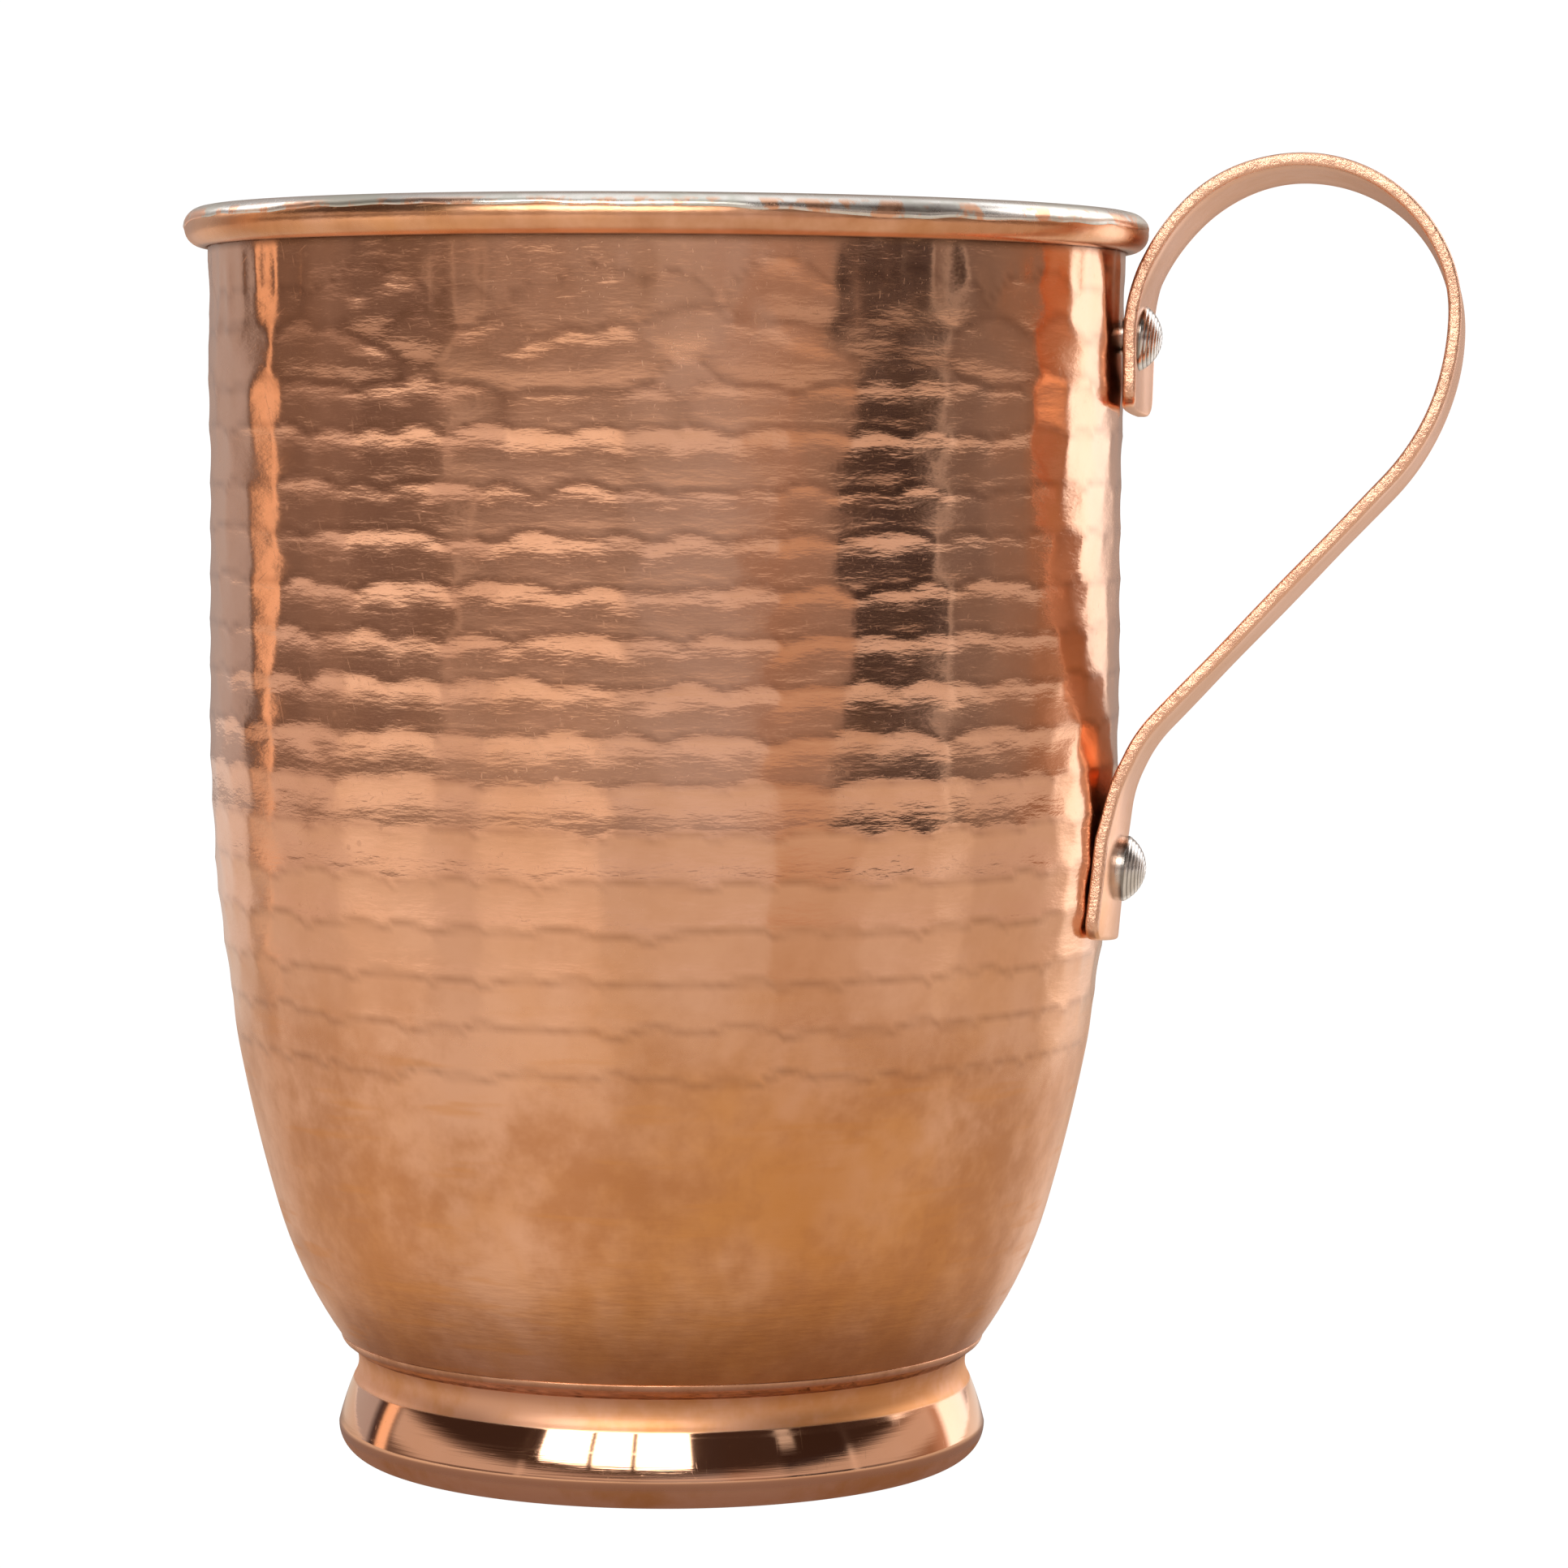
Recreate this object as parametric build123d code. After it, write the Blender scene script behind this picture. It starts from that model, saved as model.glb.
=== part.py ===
"""Footed copper mug: a spun and hammered sheet body, a wired rim, a tin lining, a soldered foot ring
and a flat strap handle held by two rivets.

Millimetres. +Z is the mug's axis of turning, pointing up. The origin is on that axis, in the plane
that the foot stands on. +X points from the axis to the handle.
"""

from build123d import *

import os
from math import asin, atan2, cos, degrees, radians, sin

# ---------------------------------------------------------------- driving dimensions
SHEET = 1.0  # copper sheet of the body
WALL_R = 43.8  # outside radius of the straight wall
STRAIGHT_FROM = 71.3  # height at which the wall stops being straight
SHOULDER_R, SHOULDER_TURN = 168.0, 16.2  # long arc under the straight wall, and its turn (degrees)
BELLY_R, BELLY_TURN = 42.5, 35.0  # tighter arc down to the seam, and its turn from level (degrees)
CORNER_R = 5.0  # corner from the belly into the floor, inside the foot
FLOOR_RISE = 1.2  # the floor is pushed up this much at its centre

BEAD_R = 1.75  # rolled rim, outside radius of its round section
BEAD_X, BEAD_Z = 44.25, 117.6  # centre of that section
WIRE_R = 0.7  # steel wire that the rim is rolled over
CURL_FROM, CURL_TO = 214.0, -98.0  # the sheet's way round the wire (degrees from outwards)

TIN = 0.2  # lining, drawn thicker than a wiped coat so that it is a solid of its own
TIN_STOP = 12.0  # the tin comes over the rim and stops here (degrees above outwards)

NECK_R, NECK_Z, COVE_R = 29.4, 9.0, 3.0  # waist of the foot, and the hollow round it
RIDGE_Z = 7.4  # crisp line between the hollow and the polished band
BAND_R, BAND_Z, BAND_BULGE = 31.3, 3.0, 0.25  # widest line of the foot
FOOT_ROUND_R = 3.0  # lower edge of the foot
RECESS_R, RECESS_DEEP = 26.2, 4.5  # upright inner wall of the foot
SEAT_TURN, SEAT_IN, SEAT_OUT = -52.0, 2.6, 0.8  # the foot's sloping seat under the corner (degrees, mm)
COVE_TURN = 138.0  # where the hollow starts below that seat (degrees)
SOLDER, SOLDER_FROM = 0.15, -78.0  # least thickness, and its inner edge on the corner (degrees)

STRAP_W, STRAP_T = 14.0, 1.25  # flat copper bar of the handle
STRAP_GAP = 0.05  # between the wall and the bar
STRAP_CORNER_R = 1.8
TOP_END_Z, LOW_END_Z = 100.8, 50.7
BEND_Z = 105.9  # the bar leaves the wall here at the top
LOOP_X, LOOP_Z, LOOP_R = 60.5, 109.4, 14.6  # round top of the handle, on the bar's middle line
SWEEP_R = 22.9  # wider arc down from the loop's outermost point
SLOPE = 46.8  # straight run back to the mug (degrees from level)
LOW_BEND_R = 13.5
LOW_SEAT_Z = 57.0  # the bar lies against the wall at this height
LEAN, LEAN_Z = 4.5, 85.0  # the handle is off upright by this (degrees), turned about this height

RIVET_R, HOLE_R = 1.75, 1.80
HEAD_R, HEAD_H, HEAD_LAND = 3.1, 2.2, 0.4  # domed head outside, and its short upright edge
PAN_R, PAN_H = 3.8, 1.1  # flat head inside the mug
PAN_EDGE = 0.5
TOP_RIVET_Z, LOW_RIVET_Z = 107.9, 57.6

TO_TOP = (Align.CENTER, Align.CENTER, Align.MAX)


# ---------------------------------------------------------------- helpers
def polar(centre, radius, turn):
    """A point of a circle, at an angle anticlockwise from +X (degrees)."""
    return (centre[0] + radius * cos(radians(turn)), centre[1] + radius * sin(radians(turn)))


def cap(top, edge):
    """An arc centred on the axis of turning, from its top on that axis down to an edge point."""
    fall = top - edge[1]
    radius = (edge[0] ** 2 + fall**2) / (2 * fall)
    return CenterArc((0, top - radius), radius, 90, -degrees(asin(edge[0] / radius)))


def spin(flat):
    """A section drawn as (radius, height), turned about the mug's axis."""
    return revolve(Plane.XZ * flat, Axis.Z, 360)


def lean(shape):
    """A handle piece drawn upright, set off upright as the handle is."""
    return shape.rotate(Axis((0, 0, LEAN_Z), (1, 0, 0)), -LEAN)


# ---------------------------------------------------------------- body, rim and lining
shoulder = (WALL_R - SHOULDER_R, STRAIGHT_FROM)
belly = polar(shoulder, SHOULDER_R - BELLY_R, -SHOULDER_TURN)
corner = polar(belly, BELLY_R - CORNER_R, -BELLY_TURN)
bead = (BEAD_X, BEAD_Z)


def filled(inset, top):
    """All that lies inside the body's outside line, moved inwards by inset, up to a height."""
    rim_x, floor = WALL_R - inset, corner[1] - CORNER_R + inset
    edges = [
        cap(floor + FLOOR_RISE, (corner[0], floor)),
        CenterArc(corner, CORNER_R - inset, -90, 90 - BELLY_TURN),
        CenterArc(belly, BELLY_R - inset, -BELLY_TURN, BELLY_TURN - SHOULDER_TURN),
        CenterArc(shoulder, SHOULDER_R - inset, -SHOULDER_TURN, SHOULDER_TURN),
        Polyline((rim_x, STRAIGHT_FROM), (rim_x, top), (0, top), (0, floor + FLOOR_RISE)),
    ]
    return make_face(edges)


def band(outer, inner, start, stop):
    """Part of a round band about the rim's centre, between two angles."""
    edges = [
        CenterArc(bead, outer, start, stop - start),
        Line(polar(bead, outer, stop), polar(bead, inner, stop)),
        CenterArc(bead, inner, stop, start - stop),
        Line(polar(bead, inner, start), polar(bead, outer, start)),
    ]
    return make_face(edges)


def body_shell():
    wire_hole = Pos(*bead) * Circle(BEAD_R - SHEET)
    wall = filled(0, BEAD_Z) - filled(SHEET, BEAD_Z) - wire_hole
    return spin(wall + band(BEAD_R, BEAD_R - SHEET, CURL_FROM, CURL_TO))


def rim_wire():
    return spin(Pos(*bead) * Circle(WIRE_R))


def tin_lining():
    top = polar(bead, BEAD_R, CURL_FROM)[1]
    skin = filled(SHEET, top) - filled(SHEET + TIN, top) - Pos(*bead) * Circle(BEAD_R)
    return spin(skin + band(BEAD_R + TIN, BEAD_R, CURL_FROM, TIN_STOP))


# ---------------------------------------------------------------- foot
def seat_ends():
    """The inner and outer ends of the foot's sloping seat, which lies along the body's corner."""
    middle = polar(corner, CORNER_R + SOLDER, SEAT_TURN)
    return polar(middle, SEAT_IN, SEAT_TURN - 90), polar(middle, SEAT_OUT, SEAT_TURN + 90)


def foot_ring():
    seat_in, seat_out = seat_ends()
    cove = (NECK_R + COVE_R, NECK_Z)
    ridge_turn = 180 + degrees(asin((NECK_Z - RIDGE_Z) / COVE_R))
    ridge = polar(cove, COVE_R, ridge_turn)
    bulge = ((ridge[0] + BAND_R) / 2 + BAND_BULGE, (ridge[1] + BAND_Z) / 2)
    under = (BAND_R - FOOT_ROUND_R, 0)
    edges = [
        Line(seat_out, polar(cove, COVE_R, COVE_TURN)),
        CenterArc(cove, COVE_R, COVE_TURN, ridge_turn - COVE_TURN),
        ThreePointArc(ridge, bulge, (BAND_R, BAND_Z)),
        CenterArc((under[0], BAND_Z), FOOT_ROUND_R, 0, -90),
        Polyline(under, (RECESS_R, 0), (RECESS_R, RECESS_DEEP), seat_in, seat_out),
    ]
    return spin(make_face(edges))


def foot_solder():
    seat_in, seat_out = seat_ends()
    inner, outer = polar(corner, CORNER_R, SOLDER_FROM), polar(corner, CORNER_R, -BELLY_TURN)
    edges = [
        Polyline(inner, seat_in, seat_out, outer),
        CenterArc(corner, CORNER_R, -BELLY_TURN, SOLDER_FROM + BELLY_TURN),
    ]
    return spin(make_face(edges))


# ---------------------------------------------------------------- handle
# The bar's middle line runs from its upper end, over the top, and down to its lower end.
off_wall = STRAP_GAP + STRAP_T / 2
seat_x = WALL_R + off_wall
across, rise = LOOP_X - seat_x, LOOP_Z - BEND_Z
bend_r = (LOOP_R**2 - across**2 - rise**2) / (2 * (LOOP_R - across))  # runs on smoothly into the loop
bend = (seat_x + bend_r, BEND_Z)
bend_turn = degrees(atan2(LOOP_Z - bend[1], LOOP_X - bend[0]))
sweep = (LOOP_X + LOOP_R - SWEEP_R, LOOP_Z)

seat_turn = -degrees(asin((STRAIGHT_FROM - LOW_SEAT_Z) / SHOULDER_R))
seat_mid = polar(shoulder, SHOULDER_R + off_wall, seat_turn)
run_away = polar((0, 0), 1, SLOPE - 90)  # square to the straight run, away from the fingers
seat_away = polar((0, 0), 1, seat_turn)  # square to the lower seat, away from the wall


def low_bend_centre():
    """The point that is LOW_BEND_R from the straight run's line and from the lower seat's line."""
    start = polar(sweep, SWEEP_R, SLOPE - 90)
    a = LOW_BEND_R + start[0] * run_away[0] + start[1] * run_away[1]
    b = LOW_BEND_R + seat_mid[0] * seat_away[0] + seat_mid[1] * seat_away[1]
    det = run_away[0] * seat_away[1] - run_away[1] * seat_away[0]
    return ((a * seat_away[1] - b * run_away[1]) / det, (b * run_away[0] - a * seat_away[0]) / det)


low_bend = low_bend_centre()


def seat_point(height, out):
    """A point of the bar's lower seat, out from its middle line."""
    down = (seat_mid[1] - height) / seat_away[0]
    x = seat_mid[0] + down * seat_away[1]
    return (x + out * seat_away[0], height + out * seat_away[1])


def bar_side(out):
    """One long side of the bar's edge-on shape, out from its middle line (away from the fingers)."""
    top_end = (seat_x - out, TOP_END_Z)
    run_from = polar(sweep, SWEEP_R + out, SLOPE - 90)
    run_to = polar(low_bend, LOW_BEND_R - out, SLOPE + 90)
    seat_from = polar(low_bend, LOW_BEND_R - out, 180 + seat_turn)
    return [
        Line(top_end, (seat_x - out, BEND_Z)),
        CenterArc(bend, bend_r + out, 180, bend_turn - 180),
        CenterArc((LOOP_X, LOOP_Z), LOOP_R + out, bend_turn, -bend_turn),
        CenterArc(sweep, SWEEP_R + out, 0, SLOPE - 90),
        Line(run_from, run_to),
        CenterArc(low_bend, LOW_BEND_R - out, SLOPE + 90, 90 + seat_turn - SLOPE),
        Line(seat_from, seat_point(LOW_END_Z, out)),
    ]


def plain_bar():
    """The bent bar before its rivet holes are drilled, upright."""
    outer, inner = bar_side(STRAP_T / 2), bar_side(-STRAP_T / 2)
    ends = [Line(outer[0] @ 0, inner[0] @ 0), Line(outer[-1] @ 1, inner[-1] @ 1)]
    bar = extrude(Plane.XZ * make_face(outer + inner + ends), STRAP_W / 2, both=True)
    corners = bar.edges().filter_by(lambda edge: abs(edge.length - STRAP_T) < 0.001)
    return fillet(corners, STRAP_CORNER_R)


def rivet_plane(point, turn):
    """A plane on the bar's outward face at a rivet, with its normal pointing out of the mug."""
    outward = polar((0, 0), 1, turn)
    return Plane(origin=(point[0], 0, point[1]), x_dir=(0, 1, 0), z_dir=(outward[0], 0, outward[1]))


top_turn = degrees(asin((TOP_RIVET_Z - BEND_Z) / bend_r))
rivet_planes = {
    "upper_rivet": rivet_plane(polar(bend, bend_r - STRAP_T / 2, 180 - top_turn), -top_turn),
    "lower_rivet": rivet_plane(seat_point(LOW_RIVET_Z, STRAP_T / 2), seat_turn),
}
wall_depth = STRAP_T + STRAP_GAP + SHEET + TIN  # from the bar's face to the inside of the lining


def drill(plane):
    return plane * Pos(0, 0, -wall_depth) * Cylinder(HOLE_R, 4 * wall_depth)


def rivet(plane, bar):
    """Domed head formed onto the bar, shank through bar and wall, flat head formed to the lining."""
    dome = make_face([
        Polyline((0, HEAD_H), (0, -HEAD_LAND), (HEAD_R, -HEAD_LAND), (HEAD_R, HEAD_LAND)),
        cap(HEAD_H, (HEAD_R, HEAD_LAND)),
    ])
    back = -wall_depth - PAN_H
    pan = make_face(Polyline(
        (0, 0), (PAN_R, 0), (PAN_R, back + PAN_EDGE), (PAN_R - PAN_EDGE, back), (0, back), close=True
    ))
    shank = plane * Pos(0, 0, HEAD_LAND) * Cylinder(RIVET_R, HEAD_LAND - back, align=TO_TOP)
    inside = spin(filled(SHEET + TIN, BEAD_Z))
    return lean(plane * spin(dome) - bar) + lean(shank) + (lean(plane * spin(pan)) & inside)


if __name__ == "__main__":
    os.makedirs("parts", exist_ok=True)
    bar = plain_bar()
    drills = [drill(plane) for plane in rivet_planes.values()]
    holes = [lean(tool) for tool in drills]
    nodes = {
        "body_shell": body_shell() - holes,
        "rim_wire": rim_wire(),
        "tin_lining": tin_lining() - holes,
        "foot_ring": foot_ring(),
        "foot_solder": foot_solder(),
        "handle_strap": lean(bar - drills),
        "upper_rivet": rivet(rivet_planes["upper_rivet"], bar),
        "lower_rivet": rivet(rivet_planes["lower_rivet"], bar),
    }
    for name, shape in nodes.items():
        print(name, "volume", round(shape.volume), "mm3, size", shape.bounding_box().size)
        export_step(shape, f"parts/{name}.step")
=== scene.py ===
# %% [markdown]
# # A hammered copper mug
#
# The mug is a spun copper vessel, hammered in rows, with a rim rolled over a steel wire, a tin lining,
# a spun foot soldered under it, and a flat copper handle held by two rivets. The engineering model is
# loaded first and never changed. Each visible piece is then made again with the finish of the real
# one, in the same place, and stands for its plain solid.

# %% Load the frame
from functools import reduce
from math import asin, atan2, cos, degrees, hypot, pi, radians, sin, sqrt

import bpy
import numpy as np
from mathutils import Matrix, Vector


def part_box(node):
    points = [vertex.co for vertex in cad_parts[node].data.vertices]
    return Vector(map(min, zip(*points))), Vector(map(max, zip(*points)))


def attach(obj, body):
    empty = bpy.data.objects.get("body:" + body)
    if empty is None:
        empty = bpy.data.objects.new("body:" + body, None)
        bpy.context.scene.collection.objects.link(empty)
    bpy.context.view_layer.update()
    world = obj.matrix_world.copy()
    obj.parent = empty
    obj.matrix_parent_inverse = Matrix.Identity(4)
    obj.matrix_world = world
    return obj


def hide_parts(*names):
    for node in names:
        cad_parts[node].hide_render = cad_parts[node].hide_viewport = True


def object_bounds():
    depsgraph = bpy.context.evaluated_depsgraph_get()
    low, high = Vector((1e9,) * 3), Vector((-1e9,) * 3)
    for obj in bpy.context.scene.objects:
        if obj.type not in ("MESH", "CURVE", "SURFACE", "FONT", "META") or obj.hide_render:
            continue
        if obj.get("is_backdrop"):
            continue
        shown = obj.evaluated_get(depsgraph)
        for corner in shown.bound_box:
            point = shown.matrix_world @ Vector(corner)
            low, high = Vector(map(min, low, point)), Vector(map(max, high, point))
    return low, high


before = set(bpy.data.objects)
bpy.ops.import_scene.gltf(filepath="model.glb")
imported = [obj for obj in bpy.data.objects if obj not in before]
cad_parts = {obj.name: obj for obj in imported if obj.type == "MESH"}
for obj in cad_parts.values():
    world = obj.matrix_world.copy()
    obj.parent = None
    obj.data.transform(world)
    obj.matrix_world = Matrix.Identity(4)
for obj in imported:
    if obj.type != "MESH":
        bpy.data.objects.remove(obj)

cad_box = [list(corner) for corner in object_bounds()]
print("CAD box", cad_box)

# %% [markdown]
# ## Sizes
#
# Lengths are in metres, so a value in millimetres is multiplied by MM. The heights and radii that the
# solids already have are read from their boxes. The radii of the long arcs can't be read from a box,
# so they are stated here, as a spinner would note them beside the drawing.

# %% Sizes of the vessel
MM = 0.001

rim_box, body_box, foot_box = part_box("rim_wire"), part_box("body_shell"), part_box("foot_ring")
WIRE_R = (rim_box[1][2] - rim_box[0][2]) / 2
BEAD = (rim_box[1][0] - WIRE_R, (rim_box[1][2] + rim_box[0][2]) / 2)
BEAD_R = body_box[1][2] - BEAD[1]

SHEET = 1.0 * MM
WALL_R = 43.8 * MM
STRAIGHT_FROM = 71.3 * MM
SHOULDER_R, SHOULDER_TURN = 168.0 * MM, 16.2
BELLY_R, BELLY_TURN = 42.5 * MM, 35.0
CORNER_R = 5.0 * MM
FLOOR_RISE = 1.2 * MM
print("rim", [round(v / MM, 2) for v in BEAD], "bead radius", round(BEAD_R / MM, 2))


# %% [markdown]
# ## Helpers for turned pieces
#
# A spinner works to the edge-on outline of the piece, so each outline is a list of (radius, height)
# points, with its round stretches given as arcs. Arcs that are met smoothly need only their centres
# and the angles between them.

# %% Points of an outline
def polar(centre, radius, turn):
    return (centre[0] + radius * cos(radians(turn)), centre[1] + radius * sin(radians(turn)))


def arc(centre, radius, start, stop, step):
    """Points along an arc, about a step apart, both ends included."""
    count = max(2, round(abs(radians(stop - start)) * radius / step))
    return [polar(centre, radius, start + (stop - start) * i / count) for i in range(count + 1)]


def cap(top, edge, step):
    """An arc centred on the axis, from the axis down (or up) to an edge point."""
    fall = top - edge[1]
    radius = (edge[0] ** 2 + fall**2) / (2 * fall)
    turn = degrees(asin(edge[0] / radius))
    return arc((0, top - radius), radius, 90, 90 - turn, step)


shoulder = (WALL_R - SHOULDER_R, STRAIGHT_FROM)
belly = polar(shoulder, SHOULDER_R - BELLY_R, -SHOULDER_TURN)
corner = polar(belly, BELLY_R - CORNER_R, -BELLY_TURN)
belly_top = polar(shoulder, SHOULDER_R, -SHOULDER_TURN)[1]
print("belly arc ends at height", round(belly_top / MM, 2), "mm")


def wall_line(inset, step, coarse):
    """The vessel's outline from the axis to the start of the straight wall, moved inwards."""
    floor = corner[1] - CORNER_R + inset
    points = cap(floor + FLOOR_RISE, (corner[0], floor), coarse)
    points += arc(corner, CORNER_R - inset, -90, -BELLY_TURN, 0.5 * MM)[1:]
    points += arc(belly, BELLY_R - inset, -BELLY_TURN, -SHOULDER_TURN, coarse)[1:]
    points += arc(shoulder, SHOULDER_R - inset, -SHOULDER_TURN, 0, step)[1:]
    return points


# %% [markdown]
# A turned piece starts as one point that is extruded along its outline, and the outline is then spun
# about the mug's axis. Spinning leaves the last copy of the outline on top of the first, so the doubles
# are merged, and the normals are recalculated, because the spin can turn them inwards.

# %% Spin an outline
def only(piece):
    """Select one object and nothing else."""
    bpy.ops.object.select_all(action="DESELECT")
    piece.select_set(True)
    bpy.context.view_layer.objects.active = piece


def lathe(name, outline, steps, closed=False):
    bpy.ops.object.select_all(action="DESELECT")
    bpy.ops.mesh.primitive_plane_add(size=MM)
    piece = bpy.context.object
    piece.name = piece.data.name = name
    bpy.ops.object.mode_set(mode="EDIT")
    bpy.ops.mesh.select_mode(type="VERT")
    bpy.ops.mesh.merge(type="CENTER")
    bpy.ops.transform.translate(value=(outline[0][0], 0, outline[0][1]))
    rounds = outline[1:] + ([outline[0]] if closed else [])
    for (r0, z0), (r1, z1) in zip(outline, rounds):
        bpy.ops.mesh.extrude_region_move(TRANSFORM_OT_translate={"value": (r1 - r0, 0, z1 - z0)})
    bpy.ops.mesh.select_all(action="SELECT")
    bpy.ops.mesh.spin(steps=steps, angle=2 * pi, center=(0, 0, 0), axis=(0, 0, 1))
    bpy.ops.mesh.select_all(action="SELECT")
    bpy.ops.mesh.remove_doubles(threshold=0.002 * MM)
    bpy.ops.mesh.normals_make_consistent(inside=False)
    bpy.ops.object.mode_set(mode="OBJECT")
    bpy.ops.object.shade_smooth()
    print(name, len(piece.data.vertices), "points", len(piece.data.polygons), "faces")
    return piece


def points_of(piece):
    flat = np.empty(len(piece.data.vertices) * 3)
    piece.data.vertices.foreach_get("co", flat)
    return flat.reshape(-1, 3)


def move_points(piece, places):
    piece.data.vertices.foreach_set("co", places.astype(np.float32).ravel())
    piece.data.update()


# %% [markdown]
# ## Hammer marks
#
# The marks go round the wall in rows, one blow beside the other. Each blow leaves a shallow dish that
# is steeper at its top than at its bottom, because the hammer was held a little tilted. Where two
# dishes meet, the metal keeps the deeper one, and that leaves the sharp scalloped ridges. A displacement
# texture can't follow rows like these, so each point of the wall is asked how deep the nearest
# dishes are, and takes the deepest. Just below the rim the blows are looser, and a row of tall narrow
# marks was made with the edge of the hammer.

# %% Hammer marks as a depth
ROW_PITCH, ROW_BLOWS = 4.4 * MM, 52
LOW_ROW, TOP_ROW = 39.5 * MM, 103.0 * MM
DISH_DEEP = 0.28 * MM
DISH_TOP_R, DISH_LOW_R, DISH_SIDE_R = 13.5 * MM, 30 * MM, 52 * MM
LAST_ROW_SHARE = 0.6
FADE_FROM, FADE_OVER = 40.0 * MM, 7.0 * MM
RIDGE_SPAN, RIDGE_FROM, RIDGE_OVER = 0.11 * MM, 38.0 * MM, 3.0 * MM
LOOSE_ROWS = (106.9 * MM, 110.9 * MM)
RIM_ROW, RIM_BLOWS = 109.8 * MM, 74
RIM_SIDE_R, RIM_LOW_R, RIM_TOP_R = 16 * MM, 24 * MM, 110 * MM
rng = np.random.default_rng(11)


def make_rows():
    rows = []
    height = LOW_ROW
    while height <= TOP_ROW:
        share = LAST_ROW_SHARE if height > TOP_ROW - ROW_PITCH else 1
        rows.append(dict(
            height=height,
            around=(np.arange(ROW_BLOWS) + rng.uniform(-0.13, 0.13, ROW_BLOWS)) * 2 * pi / ROW_BLOWS
            + rng.uniform(-0.25, 0.25) * 2 * pi / ROW_BLOWS,
            up=rng.uniform(-0.28, 0.28, ROW_BLOWS) * MM,
            deep=DISH_DEEP * share + rng.uniform(-0.030, 0.030, ROW_BLOWS) * MM,
            lean=rng.uniform(-1, 1, (ROW_BLOWS, 2)) * (0.030, 0.009),
        ))
        height += ROW_PITCH
    for height in LOOSE_ROWS:
        rows.append(dict(
            height=height,
            around=(np.arange(ROW_BLOWS) + rng.uniform(-0.35, 0.35, ROW_BLOWS)) * 2 * pi / ROW_BLOWS,
            up=rng.uniform(-1.3, 1.3, ROW_BLOWS) * MM,
            deep=rng.uniform(0.08, 0.24, ROW_BLOWS) * MM,
            lean=rng.uniform(-1, 1, (ROW_BLOWS, 2)) * (0.040, 0.014),
        ))
    return rows


hammer_rows = make_rows()
print(len(hammer_rows), "rows of", ROW_BLOWS, "blows")


# %% [markdown]
# One dish is worked out from how far a point lies from its middle, sideways and upwards. A small lean
# turns the dish's floor, because no two blows of a hand-held hammer land quite flat, and that makes
# neighbouring marks glint differently. How near a point is to a ridge between two rows is kept too,
# because the material paints a thin line of shade along it.

# %% Depth of the marks
def dish(du, dv, deep, lean):
    """Depth of one dish at du sideways and dv upwards from its middle."""
    side = du**2 / (2 * DISH_SIDE_R) * (1 + 0.55 * np.tanh(dv / MM))
    along = np.where(dv > 0, dv**2 / (2 * DISH_TOP_R), dv**2 / (2 * DISH_LOW_R))
    return deep - side - along + du * lean[..., 0] + dv * lean[..., 1]


def hammered(turn, height):
    """Depth of the hammered wall below its drawn surface, and how near the ridge between two rows is,
    for arrays of angle and height."""
    depth, second = np.zeros_like(turn), np.full_like(turn, -MM)
    for row in hammer_rows:
        near = np.abs(height - row["height"]) < 2.2 * ROW_PITCH
        if not near.any():
            continue
        t, h = turn[near], height[near]
        first = np.round((t - row["around"][0]) / (2 * pi / ROW_BLOWS)).astype(int)
        here = np.full_like(t, -MM)
        for k in (-1, 0, 1):
            i = (first + k) % ROW_BLOWS
            du = np.angle(np.exp(1j * (t - row["around"][i]))) * WALL_R
            dv = h - row["height"] - row["up"][i]
            here = np.maximum(here, dish(du, dv, row["deep"][i], row["lean"][i]))
        second[near] = np.maximum(second[near], np.minimum(depth[near], here))
        depth[near] = np.maximum(depth[near], here)
    fade = np.clip((height - FADE_FROM) / FADE_OVER, 0, 1)
    fade = fade * fade * (3 - 2 * fade)
    shown = np.clip((height - RIDGE_FROM) / RIDGE_OVER, 0, 1)
    ridge = np.clip(1 - (depth - second) / RIDGE_SPAN, 0, 1) * (depth > 0) * shown
    return depth * fade, ridge


# %% [markdown]
# The marks under the rim are narrow and tall, and each has its own depth and height. The whole wall also
# has slow waves, a few sines round the mug, because no hammered cylinder stays quite round. They bend
# the long upright reflections.

# %% Marks under the rim and slow waves
rim_turn = (np.arange(RIM_BLOWS) + rng.uniform(-0.3, 0.3, RIM_BLOWS)) * 2 * pi / RIM_BLOWS
rim_deep = rng.uniform(0.12, 0.22, RIM_BLOWS) * MM
rim_up = rng.uniform(-1.8, 1.8, RIM_BLOWS) * MM


def planished(turn, height):
    """The tall narrow marks below the rim."""
    first = np.round(turn / (2 * pi / RIM_BLOWS)).astype(int)
    depth = np.zeros_like(turn)
    for k in (-2, -1, 0, 1, 2):
        i = (first + k) % RIM_BLOWS
        du = np.angle(np.exp(1j * (turn - rim_turn[i]))) * WALL_R
        dv = height - RIM_ROW - rim_up[i]
        tall = np.where(dv < 0, RIM_LOW_R, RIM_TOP_R)
        depth = np.maximum(depth, rim_deep[i] - du**2 / (2 * RIM_SIDE_R) - dv**2 / (2 * tall))
    return depth


WAVE_SIZE = 0.15 * MM
WAVES = [(n, rng.uniform(0.6, 1.0) / n**1.25, rng.uniform(0, 2 * pi), rng.uniform(-0.9, 0.9) * n / (90 * MM))
         for n in (3, 7, 11, 17, 29, 41, 59, 83)]


def waves(turn, height):
    """The wall's slow unevenness, which bends long reflections."""
    return WAVE_SIZE * sum(size * np.sin(n * turn + shift + rise * height) for n, size, shift, rise in WAVES)


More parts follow.
